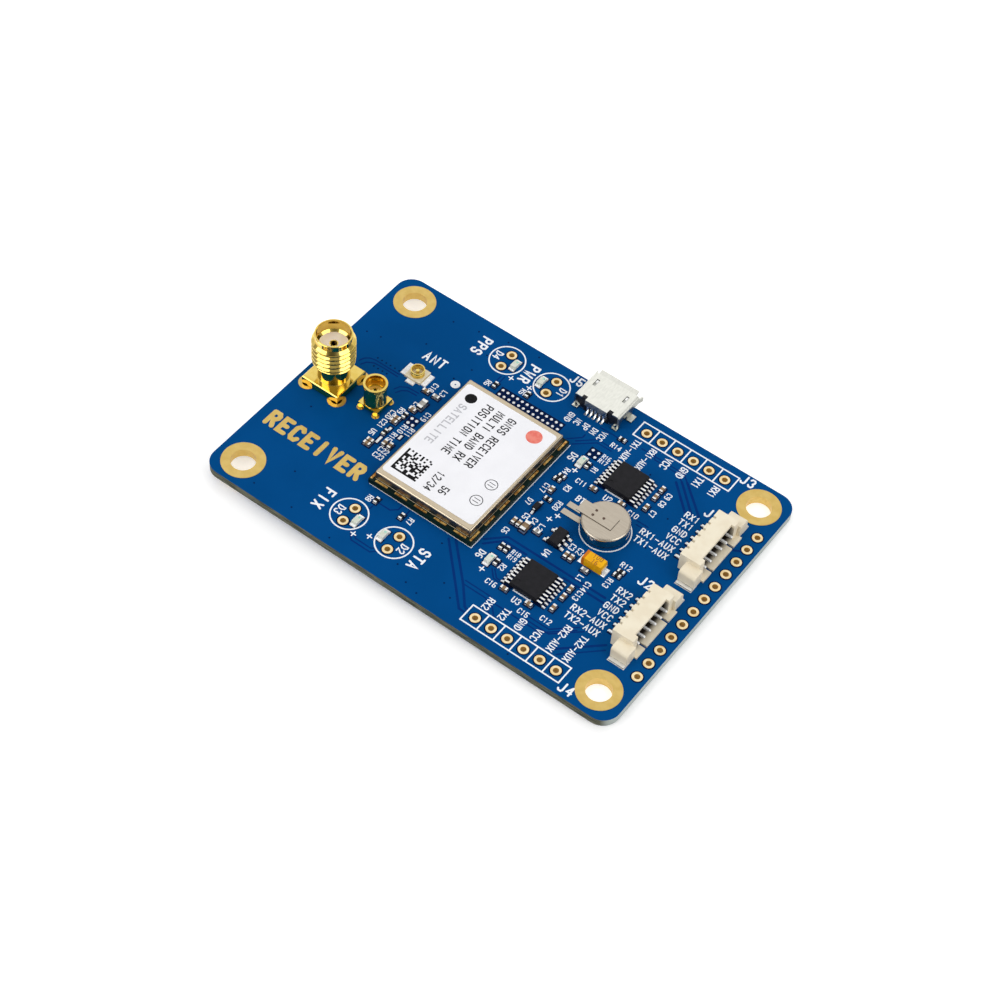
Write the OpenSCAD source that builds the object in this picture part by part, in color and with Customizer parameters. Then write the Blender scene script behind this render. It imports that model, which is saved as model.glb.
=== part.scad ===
// Satellite positioning receiver board: a blue circuit board with a shielded receiver module, two vertical
// antenna jacks, a surface antenna socket, a micro USB socket, two side-entry sockets and small parts.
// Millimetres. The origin is the centre of the mounting-hole pattern on the board's bottom face, +Z is up,
// +X runs along the board towards the side-entry sockets and +Y towards the USB socket.

/* [Board] */
// Length of the board along X
board_w = 66; // [65.5:0.1:70]
// Width of the board along Y
board_d = 44.6; // [44:0.1:50]
// Thickness of the laminate
board_t = 1.2; // [0.8:0.1:2]
// Radius of the board's corners
corner_r = 2.5; // [0.5:0.1:3.5]
// Thickness of copper lands on both faces
copper_t = 0.05; // [0.02:0.01:0.1]
// Wall of the plating inside a hole
plating_t = 0.05; // [0.03:0.01:0.1]
// Gap between plating and drilled hole
drill_gap = 0.01; // [0:0.005:0.03]

/* [Mounting holes] */
// Distance between mounting holes along X
hole_pitch_x = 58; // [56:0.1:58.4]
// Distance between mounting holes along Y
hole_pitch_y = 37; // [36:0.1:37.4]
// Diameter of a plated mounting hole
hole_d = 3.5; // [2.7:0.1:4]
// Diameter of the gold land round a mounting hole
hole_land_d = 6.1; // [5:0.1:6.6]

/* [Header holes] */
// Pitch of header holes
header_pitch = 2.54; // [2:0.01:2.54]
// Diameter of a plated header hole
header_hole_d = 0.8; // [0.7:0.05:1.1]
// Diameter of the land round a header hole
header_land_d = 1.45; // [1.3:0.05:1.7]
// Number of holes in the upper and lower headers
header_count = 6; // [2:1:6]
// Number of holes in the edge row
edge_row_count = 12; // [2:1:12]
// Distance from the board's long edges to the headers
header_inset = 2.8; // [2:0.1:3]
// First hole of the upper header along X
upper_header_x = 10.2; // [9.8:0.1:11]
// First hole of the lower header along X
lower_header_x = 10.4; // [9:0.1:11]
// Distance from the short edge to the edge row
edge_row_inset = 1.4; // [1.1:0.1:1.7]

/* [Threaded jack] */
// Distance from the short edge to the jack's axis
sma_inset = 4.4; // [3.9:0.1:5]
// Side of the square flange
sma_flange = 6.2; // [6.1:0.1:6.6]
// Thickness of the flange
sma_flange_t = 1.35; // [1:0.05:2]
// Diameter of the neck between flange and thread
sma_neck_d = 4.5; // [4.3:0.1:5]
// Height of the neck above the flange
sma_neck_h = 2.75; // [2:0.05:4]
// Outside diameter of the thread
sma_thread_d = 6.1; // [5.6:0.05:6.35]
// Length of the thread
sma_thread_h = 4.55; // [3:0.05:6]
// Diameter of the plain nose above the thread
sma_nose_d = 5.25; // [5.1:0.05:5.4]
// Length of the plain nose
sma_nose_h = 0.9; // [0.5:0.1:1.5]
// Diameter of the mouth
sma_mouth_d = 4.75; // [4.5:0.05:4.9]
// Depth of the mouth down to the insulator
sma_mouth_depth = 2.0; // [1.5:0.1:3]
// Diameter of the white insulator
sma_insulator_d = 4.1; // [3.6:0.05:4.2]
// Diameter of the socket contact
sma_contact_d = 1.27; // [1.1:0.01:1.4]
// Bore of the socket contact
sma_contact_bore = 0.94; // [0.8:0.01:1]
// Distance between leg centres
sma_leg_pitch = 5.08; // [4.8:0.02:5.1]
// Side of a square leg
sma_leg = 1.0; // [0.8:0.05:1.1]
// Diameter of the land round a leg
sma_land_d = 2.6; // [2:0.1:2.7]

/* [Small jack] */
// Place of the small jack along X, from the threaded jack's axis
mmcx_offset = 7.1; // [6.9:0.05:8]
// Side of the square base
mmcx_base = 3.3; // [3.1:0.05:3.6]
// Height of the base's top above its lands
mmcx_base_h = 0.9; // [0.7:0.05:1.2]
// Height of the shoulders that hold the base off the board
mmcx_shoulder = 0.35; // [0.2:0.05:0.5]
// Outside diameter of the barrel
mmcx_d = 3.2; // [3:0.05:3.3]
// Outside diameter of the rim
mmcx_rim_d = 3.4; // [3.35:0.05:3.6]
// Height of the jack above the board
mmcx_h = 4.45; // [4:0.05:5]
// Diameter of the mouth
mmcx_mouth_d = 2.75; // [2.5:0.05:2.8]
// Diameter of the insulator
mmcx_insulator_d = 2.3; // [2:0.05:2.4]
// Diameter of the socket contact
mmcx_contact_d = 0.85; // [0.7:0.05:1]
// Bore of the socket contact
mmcx_contact_bore = 0.5; // [0.4:0.05:0.6]
// Distance between leg centres along X
mmcx_leg_x = 2.6; // [2.4:0.05:2.7]
// Distance between leg centres along Y
mmcx_leg_y = 3.1; // [2.6:0.05:3.2]
// Diameter of a leg
mmcx_leg_d = 0.5; // [0.4:0.05:0.6]
// Diameter of the land round a leg
mmcx_land_d = 1.1; // [0.9:0.05:1.2]

/* [Jack legs] */
// How far the trimmed legs reach below the board
leg_reach = 1.0; // [0.6:0.1:2]
// Gap between a leg and its plated hole
leg_gap = 0.06; // [0.02:0.01:0.15]
// Height of the solder cone on a leg below the board
solder_h = 0.6; // [0.3:0.05:0.8]

/* [Surface socket] */
// Side of the moulded base
coax_base = 2.6; // [2.4:0.05:2.8]
// Thickness of the moulded base
coax_base_t = 0.35; // [0.25:0.05:0.5]
// Outside diameter of the shell's ring
coax_ring_d = 2.0; // [1.9:0.05:2.1]
// Height of the socket above the board
coax_h = 1.25; // [1.1:0.05:1.4]
// Wall of the ring
coax_wall = 0.15; // [0.1:0.01:0.2]
// Diameter of the centre pin
coax_pin_d = 0.5; // [0.4:0.05:0.6]

/* [Receiver module] */
// Width of the module along X
module_w = 17; // [16.6:0.1:17.4]
// Length of the module along Y
module_d = 22; // [21.6:0.1:22.4]
// Height of the module above the board
module_h = 2.4; // [2.2:0.05:3]
// Thickness of the carrier board
carrier_t = 0.85; // [0.6:0.05:1]
// Margin of carrier round the shield can
can_margin = 0.6; // [0.45:0.05:1]
// Sheet thickness of the shield can
can_t = 0.15; // [0.1:0.01:0.25]
// Radius of the can's bends
can_r = 0.3; // [0.25:0.05:0.6]
// Thickness of the label
label_t = 0.05; // [0.03:0.01:0.1]
// Bare strip of can beside the label along X
label_margin_x = 0.1; // [0.05:0.05:1.5]
// Bare strip of can beside the label along Y
label_margin_y = 0.55; // [0.05:0.05:1.5]
// Side of a land under the carrier
module_land = 0.8; // [0.5:0.05:0.9]
// Pitch of the lands round the carrier
module_land_pitch = 1.1; // [1.05:0.05:1.3]

/* [USB socket] */
// Centre of the USB socket along X
usb_x = 3.05; // [2:0.05:3.5]
// Width of the shell
usb_w = 7.4; // [7.2:0.05:7.6]
// Height of the shell's top above the board
usb_h = 2.4; // [2.3:0.05:2.8]
// Length of the shell without its lip
usb_len = 4.9; // [4.5:0.05:5.4]
// Length of the flared lip past the shell
usb_lip = 0.7; // [0.4:0.05:0.9]
// How far the shell's front lies past the board's edge
usb_overhang = 0.1; // [0:0.05:0.5]
// Sheet thickness of the shell
usb_t = 0.25; // [0.2:0.01:0.3]
// Pitch of the contacts
usb_pitch = 0.65; // [0.6:0.01:0.68]
// Width of a contact
usb_contact_w = 0.3; // [0.2:0.05:0.35]

/* [Side-entry sockets] */
// Distance between the two sockets along Y
socket_spacing = 15.24; // [14:0.02:15.4]
// Distance from the short edge to the sockets' open front
socket_inset = 2.95; // [2.5:0.05:3.4]
// Number of contacts in a socket
socket_count = 6; // [2:1:6]
// Pitch of the contacts
socket_pitch = 1.25; // [1.2:0.01:1.27]
// Depth of the housing along X
socket_depth = 4.0; // [3.8:0.05:4.4]
// Height of the housing
socket_h = 3.1; // [2.8:0.05:3.6]
// Wall of the housing
socket_wall = 1.1; // [0.8:0.05:1.2]
// How far the roof stops short of the open front
roof_setback = 1.35; // [1:0.05:1.6]
// How far the side walls stop short of the open front
wall_setback = 0.85; // [0.5:0.05:0.95]
// Length of the block at each end
end_block = 1.75; // [1.4:0.05:1.85]
// Height of the block at each end
end_block_h = 2.2; // [1.6:0.05:2.4]
// Side of a square contact blade
blade = 0.3; // [0.2:0.05:0.35]
// Thickness of a solder tab
tab_t = 0.2; // [0.15:0.01:0.25]
// How far a solder tab shows past the end block
tab_reach = 0.5; // [0.3:0.05:0.8]

/* [Chips] */
// Length of a level shifter's body along Y
shifter_d = 5.0; // [4.8:0.05:5.2]
// Width of a level shifter's body along X
shifter_w = 4.4; // [4.2:0.05:4.6]
// Height of a level shifter above the board
shifter_h = 1.05; // [1:0.05:1.3]
// Width across a level shifter's leads
shifter_span = 6.6; // [6.3:0.05:6.8]
// Pitch of a level shifter's leads
shifter_pitch = 0.65; // [0.5:0.01:0.65]
// Leads on one side of a level shifter
shifter_leads = 8; // [2:1:8]
// Gap between a moulded body and the board
standoff = 0.1; // [0.05:0.01:0.2]
// Thickness of a lead
lead_t = 0.15; // [0.1:0.01:0.2]

/* [Coin cell] */
// Diameter of the coin cell
cell_d = 6.7; // [6.3:0.05:6.9]
// Height of the coin cell
cell_h = 2.1; // [1.8:0.05:2.4]
// Diameter of the cell's cap
cell_cap_d = 5.4; // [5:0.05:5.6]
// Thickness of the cell's tabs
cell_tab_t = 0.12; // [0.1:0.01:0.2]

/* [Tantalum capacitor] */
// Length of the body
tantalum_w = 3.1; // [2.8:0.05:3.4]
// Width of the body
tantalum_d = 1.6; // [1.4:0.05:1.8]
// Height above the board
tantalum_h = 1.5; // [1.4:0.05:1.8]

/* [Chip parts] */
// Length of a chip part
chip_l = 1.0; // [0.9:0.02:1.06]
// Width of a chip part
chip_w = 0.5; // [0.45:0.01:0.55]
// Height of a chip resistor
resistor_h = 0.35; // [0.3:0.01:0.45]
// Height of a chip capacitor
capacitor_h = 0.5; // [0.4:0.01:0.6]
// Length of a large chip part
large_chip_l = 1.6; // [1.5:0.05:1.7]
// Width of a large chip part
large_chip_w = 0.8; // [0.7:0.05:0.85]
// Share of a chip's length that each end cap takes
cap_share = 0.26; // [0.2:0.01:0.32]
// Length of an indicator lamp
lamp_l = 2.0; // [1.8:0.05:2.1]
// Width of an indicator lamp
lamp_w = 0.85; // [0.7:0.05:1]
// Height of an indicator lamp
lamp_h = 0.5; // [0.4:0.05:0.7]
// Height of solder on a bare tinned pad
tin_t = 0.08; // [0.05:0.01:0.12]

/* [Hidden] */
$fn = 48;
cut = 0.1;
sides = [-1, 1];
edge_x = board_w / 2;
edge_y = board_d / 2;

// Small parts are placed for this length of board, and spread along X with it
layout_w = 66;
function spread(p) = [p[0] * board_w / layout_w, p[1], p[2]];
function spread_all(places) = [for (p = places) spread(p)];

mount_points = [for (sx = sides, sy = sides) [sx * hole_pitch_x / 2, sy * hole_pitch_y / 2]];
upper_header = [for (i = [0 : header_count - 1]) [upper_header_x + i * header_pitch, edge_y - header_inset]];
lower_header = [for (i = [0 : header_count - 1]) [lower_header_x + i * header_pitch, header_inset - edge_y]];
edge_row_y = 0.1;
edge_row = [for (i = [0 : edge_row_count - 1])
    [edge_x - edge_row_inset, edge_row_y + (i - (edge_row_count - 1) / 2) * header_pitch]];

// Middle of each pair of holes for a wired indicator
pair_points = spread_all([[-12.4, 17.9, 0], [-4.7, 17.9, 0], [-12.4, -16.7, 0], [-5, -16.7, 0]]);
pair_holes = [for (p = pair_points, s = sides) [p[0], p[1] + s * header_pitch / 2]];

sma_x = sma_inset - edge_x;
sma_y = 0;
sma_points = [for (sx = sides, sy = sides) [sma_x + sx * sma_leg_pitch / 2, sma_y + sy * sma_leg_pitch / 2]];
sma_leg_hole_d = sma_leg * sqrt(2) + 2 * leg_gap;
sma_thread_z = sma_flange_t + sma_neck_h;
sma_nose_z = sma_thread_z + sma_thread_h;
sma_top_z = sma_nose_z + sma_nose_h;
sma_insulator_z = sma_top_z - sma_mouth_depth;
sma_chamfer = (sma_thread_d - sma_nose_d) / 2;
sma_tail_hole_d = sma_contact_d + 2 * leg_gap;

mmcx_x = sma_x + mmcx_offset;
mmcx_y = 0.15;
mmcx_points = [for (sx = sides, sy = sides) [mmcx_x + sx * mmcx_leg_x / 2, mmcx_y + sy * mmcx_leg_y / 2]];
mmcx_leg_hole_d = mmcx_leg_d + 2 * leg_gap;
mmcx_tail_hole_d = mmcx_contact_d + 2 * leg_gap;
mmcx_rim_h = 0.6;
mmcx_floor_z = 2.5;
mmcx_contact_z = 3;

coax_place = spread([-20.3, 8, 0]);

module_place = spread([-5.3, 0.05, 0]);
module_top = module_place[1] + module_d / 2;
module_bottom = module_place[1] - module_d / 2;
can_w = module_w - 2 * can_margin;
can_d = module_d - 2 * can_margin;
can_z = copper_t + carrier_t;
can_h = module_h - can_z - label_t;
inner_h = can_h - can_t;

usb_front = edge_y + usb_overhang;
usb_back = usb_front - usb_len;
usb_floor = 0.15;
usb_side_h = 1.1;
usb_taper = 0.95;
usb_bend = 0.45;

socket_front = edge_x - socket_inset;
socket_mid_y = 0.4;
socket_ys = [for (s = sides) socket_mid_y + s * socket_spacing / 2];

// Distance between a socket's first and last contact, and what the housing adds at each end
contact_span = (socket_count - 1) * socket_pitch;
socket_margin = 1.475;
socket_w = contact_span + 2 * socket_margin;
blade_z = 1.05;

shifter_places = spread_all([[12.95, 10.45, 0], [12.95, -10.4, 0]]);
regulator_place = spread([11.3, -2.8, 0]);
diode_place = spread([6.05, -0.25, 0]);

cell_place = spread([15.2, 2.35, 0]);
tantalum_place = spread([17.4, -3.25, 0]);

// Small chip parts: place along X and Y, then the turn of the long side
// Resistors beside the module keep their distance from its ends
resistors = spread_all([
    [8.3, 16.4, 0], [7.2, 9.8, 90], [5.6, 6.1, 0], [5.4, 5.3, 0], [6.4, 1.8, 0],
    [20.8, -1.9, 0], [20.7, -2.7, 0], [6.3, -8.3, 90], [7.1, -8.3, 90], [7.3, -10.8, 90],
    [-6.4, module_top + 3.65, 90], [-10.9, module_top + 2.25, 90],
    [-11, module_bottom - 1.75, 90], [-6.8, module_bottom - 1.75, 90],
    [-17.1, 1.1, 90], [-17.4, -2.9, 90]
]);
capacitors = spread_all([
    [17.4, 12.6, 90], [17.4, 11, 90], [17.4, 8.8, 90], [10.1, 7, 0], [14.5, 7.2, 0], [5.9, 3.3, 90],
    [5.1, -4, 90], [5.9, -4, 90], [13.7, -4.25, 90], [14.5, -4.25, 90], [17.3, -8.3, 90],
    [17.3, -9.9, 90], [17.3, -12.1, 90], [10.6, -13.6, 0], [14.5, -13.6, 0], [-17.5, 6.3, 0],
    [-16.9, 2.5, 0], [-17.6, 0, 0], [-17.6, -0.7, 0], [-16.2, -4.4, 90], [-15.3, -4.4, 90],
    [-18, -5.3, 0], [-18, -6, 0]
]);
large_capacitors = spread_all([[6.9, -4, 90]]);
inductors = spread_all([[-15.8, 6.3, 0], [8.5, -3.6, 0], [17, -4.75, 0]]);
large_inductors = spread_all([[-16.3, 3.9, 90]]);
lamps = spread_all([
    [-10.9, 17.9, 90], [-6.3, 17.8, 90], [-10.9, -16.9, 90], [-6.8, -16.6, 90],
    [6.2, 9.8, 90], [6.3, -11, 90]
]);

// Bare tinned pads: place, then width and length
pad_array_x = [for (i = [0 : 12]) module_place[0] - 4.25 + i * 0.82];
pad_array_y = [module_top + 1.35, module_top + 2.25];
loose_pads = concat(
    [for (x = [6.2, 7.1], y = [11.6, 12.5]) [x, y, 0.5, 0.45]],
    [for (x = [-16.1, -15.3], y = [0.5, 1.4]) [x, y, 0.5, 0.5]],
    [[-15.3, -2.2, 0.4, 0.8], [-17.3, -1.9, 0.4, 0.6], [-17.3, -4.3, 0.4, 1.3]]
);
bare_pads = concat(
    [for (x = pad_array_x, y = pad_array_y) [x, y, 0.45, 0.55]],
    [for (p = loose_pads) [p[0] * board_w / layout_w, p[1], p[2], p[3]]]
);

// Shared shapes

// A box centred on the axis and standing on its base
module block(w, d, h) {
    translate([-w / 2, -d / 2, 0]) cube([w, d, h]);
}

// A rectangle with round corners
module round_rect(w, d, r) {
    square([w - 2 * r, d], center = true);
    square([w, d - 2 * r], center = true);
    for (sx = sides, sy = sides) translate([sx * (w / 2 - r), sy * (d / 2 - r)]) circle(r);
}

// Lifts its children onto the board's top face
module on_board() {
    translate([0, 0, board_t]) children();
}

// Repeats its children at a list of places with a turn, on the board's top face
module at_each(places) {
    for (p = places) translate([p[0], p[1], board_t]) rotate(p[2]) children();
}

// A plated hole with a land on both faces of the board
module plated_hole(bore, land) {
    difference() {
        union() {
            cylinder(d = bore + 2 * plating_t, h = board_t);
            for (z = [-copper_t, board_t]) translate([0, 0, z]) cylinder(d = land, h = copper_t);
        }
        translate([0, 0, -copper_t - cut]) cylinder(d = bore, h = board_t + 2 * (copper_t + cut));
    }
}

module plated_holes(points, bore, land) {
    for (p = points) translate([p[0], p[1], 0]) plated_hole(bore, land);
}

// Holes drilled through the board for plated holes of one size
module drilled(points, bore) {
    for (p = points) translate([p[0], p[1], -cut])
        cylinder(d = bore + 2 * (plating_t + drill_gap), h = board_t + 2 * cut);
}

// A moulded chip body with sides that slope out to a parting line at half height
module moulded_body(w, d, h, draft) {
    intersection() {
        rotate([90, 0, 0]) linear_extrude(d, center = true) moulded_side(w, h, draft);
        rotate([90, 0, 90]) linear_extrude(w, center = true) moulded_side(d, h, draft);
    }
}

module moulded_side(w, h, draft) {
    polygon([[-w / 2 + draft, 0], [w / 2 - draft, 0], [w / 2, h / 2], [w / 2 - draft, h],
        [-w / 2 + draft, h], [-w / 2, h / 2]]);
}

// A gull-wing lead that leaves a body at x = 0 and ends at x = reach
module gull_lead(reach, exit_z, width, foot) {
    rotate([90, 0, 0]) linear_extrude(width, center = true)
        polygon([[0, exit_z], [reach - foot, exit_z], [reach - foot, 0], [reach, 0], [reach, lead_t],
            [reach - foot + lead_t, lead_t], [reach - foot + lead_t, exit_z + lead_t], [0, exit_z + lead_t]]);
}

// The middle of a chip part, between its end caps
module chip_body(l, w, h) {
    block(l * (1 - 2 * cap_share), w, h);
}

module chip_caps(l, w, h) {
    for (s = sides) translate([s * l * (1 - cap_share) / 2, 0, 0]) block(l * cap_share, w, h);
}

// Board and its lands

module circuit_board() {
    color("#044886") difference() {
        linear_extrude(board_t) round_rect(board_w, board_d, corner_r);
        drilled(mount_points, hole_d);
        drilled(concat(upper_header, lower_header, edge_row, pair_holes), header_hole_d);
        drilled(sma_points, sma_leg_hole_d);
        drilled([[sma_x, sma_y]], sma_tail_hole_d);
        drilled(mmcx_points, mmcx_leg_hole_d);
        drilled([[mmcx_x, mmcx_y]], mmcx_tail_hole_d);
    }
}

module mounting_hole_lands() {
    color("#d2b464") plated_holes(mount_points, hole_d, hole_land_d);
}

module upper_header_lands() {
    color("#d2b464") plated_holes(upper_header, header_hole_d, header_land_d);
}

module lower_header_lands() {
    color("#d2b464") plated_holes(lower_header, header_hole_d, header_land_d);
}

module edge_row_lands() {
    color("#d2b464") plated_holes(edge_row, header_hole_d, header_land_d);
}

module indicator_pair_lands() {
    color("#d2b464") plated_holes(pair_holes, header_hole_d, header_land_d);
}

module jack_leg_lands() {
    tail_rim = 0.5;
    color("#d2b464") {
        plated_holes(sma_points, sma_leg_hole_d, sma_land_d);
        plated_holes([[sma_x, sma_y]], sma_tail_hole_d, sma_tail_hole_d + tail_rim);
        plated_holes(mmcx_points, mmcx_leg_hole_d, mmcx_land_d);
        plated_holes([[mmcx_x, mmcx_y]], mmcx_tail_hole_d, mmcx_tail_hole_d + tail_rim);
    }
}

// Threaded antenna jack

// Lifts its children onto the lands at the threaded jack's axis
module at_sma() {
    translate([sma_x, sma_y, board_t + copper_t]) children();
}

// A square leg at each corner of the threaded jack
module sma_legs() {
    for (p = sma_points) translate([p[0], p[1], -leg_reach])
        block(sma_leg, sma_leg, leg_reach + board_t + copper_t);
}

module sma_body() {
    nose_edge = 0.08;
    color("#d9b45a") {
        sma_legs();
        at_sma() difference() {
            union() {
                block(sma_flange, sma_flange, sma_flange_t);
                cylinder(d = sma_neck_d, h = sma_top_z - nose_edge);
                translate([0, 0, sma_thread_z]) cylinder(d1 = sma_nose_d, d2 = sma_thread_d, h = sma_chamfer);
                translate([0, 0, sma_thread_z + sma_chamfer])
                    cylinder(d = sma_thread_d, h = sma_thread_h - 2 * sma_chamfer);
                translate([0, 0, sma_nose_z - sma_chamfer])
                    cylinder(d1 = sma_thread_d, d2 = sma_nose_d, h = sma_chamfer);
                translate([0, 0, sma_nose_z]) cylinder(d = sma_nose_d, h = sma_nose_h - nose_edge);
                translate([0, 0, sma_top_z - nose_edge])
                    cylinder(d1 = sma_nose_d, d2 = sma_nose_d - 2 * nose_edge, h = nose_edge);
            }
            translate([0, 0, sma_insulator_z]) cylinder(d = sma_mouth_d, h = sma_mouth_depth + cut);
            translate([0, 0, -cut]) cylinder(d = sma_insulator_d, h = sma_insulator_z + 2 * cut);
        }
    }
}

module sma_insulator() {
    color("#f2f2ee") at_sma() difference() {
        cylinder(d = sma_insulator_d, h = sma_insulator_z);
        translate([0, 0, -cut]) cylinder(d = sma_contact_d, h = sma_insulator_z + 2 * cut);
    }
}

// The socket contact with four spring fingers and a tail that passes the board
module sma_contact() {
    bore_depth = 3;
    slot_depth = 2.2;
    slot_w = 0.16;
    color("#d9b45a") difference() {
        translate([sma_x, sma_y, -leg_reach])
            cylinder(d = sma_contact_d, h = leg_reach + board_t + copper_t + sma_insulator_z);
        at_sma() {
            translate([0, 0, sma_insulator_z - bore_depth]) cylinder(d = sma_contact_bore, h = bore_depth + cut);
            for (turn = [0, 90]) rotate(turn) translate([0, 0, sma_insulator_z - slot_depth])
                block(slot_w, 2 * sma_contact_d, slot_depth + cut);
        }
    }
}

// Small antenna jack

module at_mmcx() {
    translate([mmcx_x, mmcx_y, board_t + copper_t]) children();
}

module mmcx_body() {
    shoulder_d = mmcx_leg_hole_d + 0.2;
    color("#d9b45a") {
        for (p = mmcx_points) translate([p[0], p[1], 0]) {
            translate([0, 0, -leg_reach]) cylinder(d = mmcx_leg_d, h = leg_reach + board_t + copper_t);
            translate([0, 0, board_t + copper_t]) cylinder(d = shoulder_d, h = mmcx_shoulder);
        }
        at_mmcx() difference() {
            union() {
                translate([0, 0, mmcx_shoulder]) block(mmcx_base, mmcx_base, mmcx_base_h - mmcx_shoulder);
                translate([0, 0, mmcx_shoulder]) cylinder(d = mmcx_d, h = mmcx_h - mmcx_shoulder);
                translate([0, 0, mmcx_h - mmcx_rim_h]) cylinder(d = mmcx_rim_d, h = mmcx_rim_h);
            }
            translate([0, 0, mmcx_floor_z]) cylinder(d = mmcx_mouth_d, h = mmcx_h);
            cylinder(d = mmcx_insulator_d, h = mmcx_h);
        }
    }
}

module mmcx_insulator() {
    color("#f2f2ee") at_mmcx() difference() {
        cylinder(d = mmcx_insulator_d, h = mmcx_floor_z);
        translate([0, 0, -cut]) cylinder(d = mmcx_contact_d, h = mmcx_floor_z + 2 * cut);
    }
}

module mmcx_contact() {
    bore_depth = 1.8;
    slot_depth = 1.2;
    slot_w = 0.12;
    color("#d9b45a") difference() {
        translate([mmcx_x, mmcx_y, -leg_reach])
            cylinder(d = mmcx_contact_d, h = leg_reach + board_t + copper_t + mmcx_contact_z);
        at_mmcx() {
            translate([0, 0, mmcx_contact_z - bore_depth]) cylinder(d = mmcx_contact_bore, h = bore_depth + cut);
            translate([0, 0, mmcx_contact_z - slot_depth]) block(slot_w, 2 * mmcx_contact_d, slot_depth + cut);
        }
    }
}

// A cone of solder below the board, wider at its land
module solder_cone(land, tip) {
    translate([0, 0, -copper_t - solder_h]) cylinder(d1 = tip, d2 = land, h = solder_h);
}

module leg_solder_joints() {
    rim = 0.25;
    color("#b9bcc0") difference() {
        union() {
            for (p = sma_points) translate(p) solder_cone(sma_land_d - rim, sma_leg * sqrt(2) + rim);
            for (p = mmcx_points) translate(p) solder_cone(mmcx_land_d - rim, mmcx_leg_d + rim);
            translate([sma_x, sma_y]) solder_cone(sma_tail_hole_d + rim, sma_contact_d + rim);
            translate([mmcx_x, mmcx_y]) solder_cone(mmcx_tail_hole_d + rim, mmcx_contact_d + rim);
        }
        for (p = sma_points) translate([p[0], p[1], -2 * leg_reach]) block(sma_leg, sma_leg, 3 * leg_reach);
        for (p = mmcx_points) translate([p[0], p[1], -2 * leg_reach]) cylinder(d = mmcx_leg_d, h = 3 * leg_reach);
        translate([sma_x, sma_y, -2 * leg_reach]) cylinder(d = sma_contact_d, h = 3 * leg_reach);
        translate([mmcx_x, mmcx_y, -2 * leg_reach]) cylinder(d = mmcx_contact_d, h = 3 * leg_reach);
    }
}

// Surface antenna socket

coax_foot_t = 0.12;
coax_foot_reach = 0.8;
coax_foot_d = 1.8;
coax_tab_reach = 0.6;
coax_tab_w = 1.2;

module at_coax() {
    translate([coax_place[0], coax_place[1], board_t]) rotate(coax_place[2]) children();
}

// The shell's side feet with their risers
module coax_feet() {
    for (s = sides) {
        translate([s * (coax_base / 2 + coax_foot_reach + coax_ring_d / 2 - coax_wall) / 2, 0, 0])
            block(coax_base / 2 + coax_foot_reach - coax_ring_d / 2 + coax_wall, coax_foot_d, coax_foot_t);
        translate([s * (coax_ring_d - coax_wall) / 2, 0, 0]) block(coax_wall, coax_ring_d / 3, coax_base_t);
    }
}

// The centre pin's flat foot
module coax_pin_foot() {
    reach = coax_base / 2 + coax_tab_reach;
    translate([0, -reach / 2, 0]) block(coax_pin_d, reach, coax_foot_t);
    translate([0, -(coax_base + coax_tab_reach) / 2, 0]) block(coax_tab_w, coax_tab_reach, coax_foot_t);
}

module coax_base() {
    color("#e4e0d2") at_coax() difference() {
        block(coax_base, coax_base, coax_base_t);
        coax_feet();
        coax_pin_foot();
        cylinder(d = coax_pin_d, h = 2 * coax_base_t);
    }
}

module coax_shell() {
    groove = 0.05;
    groove_h = 0.25;
    color("#d9b45a") at_coax() {
        coax_feet();
        translate([0, 0, coax_base_t]) difference() {
            cylinder(d = coax_ring_d, h = coax_h - coax_base_t);
            translate([0, 0, -cut]) cylinder(d = coax_ring_d - 2 * coax_wall, h = coax_h);
            translate([0, 0, groove_h]) difference() {
                cylinder(d = coax_ring_d + 2 * groove, h = groove_h);
                translate([0, 0, -cut]) cylinder(d = coax_ring_d - 2 * groove, h = groove_h + 2 * cut);
            }
        }
    }
}

module coax_pin() {
    pin_drop = 0.2;
    color("#d9b45a") at_coax() {
        coax_pin_foot();
        cylinder(d = coax_pin_d, h = coax_h - pin_drop);
    }
}

// Receiver module

module at_module(z) {
    translate([module_place[0], module_place[1], board_t + z]) children();
}

// A drawn box with round edges, exact in all three views
module drawn_box(w, d, h, r) {
    intersection() {
        linear_extrude(h) round_rect(w, d, r);
        rotate([90, 0, 0]) linear_extrude(d, center = true) arched(w, h, r);
        rotate([90, 0, 90]) linear_extrude(w, center = true) arched(d, h, r);
    }
}

// A rectangle that stands on its base with round upper corners
module arched(w, h, r) {
    translate([-w / 2, 0]) square([w, h - r]);
    translate([-w / 2 + r, 0]) square([w - 2 * r, h]);
    for (s = sides) translate([s * (w / 2 - r), h - r]) circle(r);
}

module module_carrier() {
    color("#2c4a35") at_module(copper_t) block(module_w, module_d, carrier_t);
}

// Lands below the carrier and the strips beside the can on top of it
module module_lands() {
    strip_l = 2;
    strip_pitch = 3.25;
    strip_w = 0.3;
    land_w = module_land * 0.8;
    corner_gap = 1;
    side_count = floor((module_d / 2 - corner_gap) / module_land_pitch);
    end_count = floor((module_w / 2 - corner_gap) / module_land_pitch);
    color("#d2b464") {
        at_module(0) {
            for (s = sides, i = [-side_count : side_count])
                translate([s * (module_w / 2 - module_land / 2), i * module_land_pitch, 0])
                    block(module_land, land_w, copper_t);
            for (s = sides, i = [-end_count : end_count])
                translate([i * module_land_pitch, s * (module_d / 2 - module_land / 2), 0])
                    block(land_w, module_land, copper_t);
        }
        at_module(can_z) {
            for (s = sides, i = [-3 : 3]) translate([s * (can_w + can_margin) / 2, i * strip_pitch, 0])
                block(strip_w, strip_l, copper_t);
            for (s = sides, i = [-2 : 2]) translate([i * strip_pitch, s * (can_d + can_margin) / 2, 0])
                block(strip_l, strip_w, copper_t);
        }
    }
}

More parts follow.
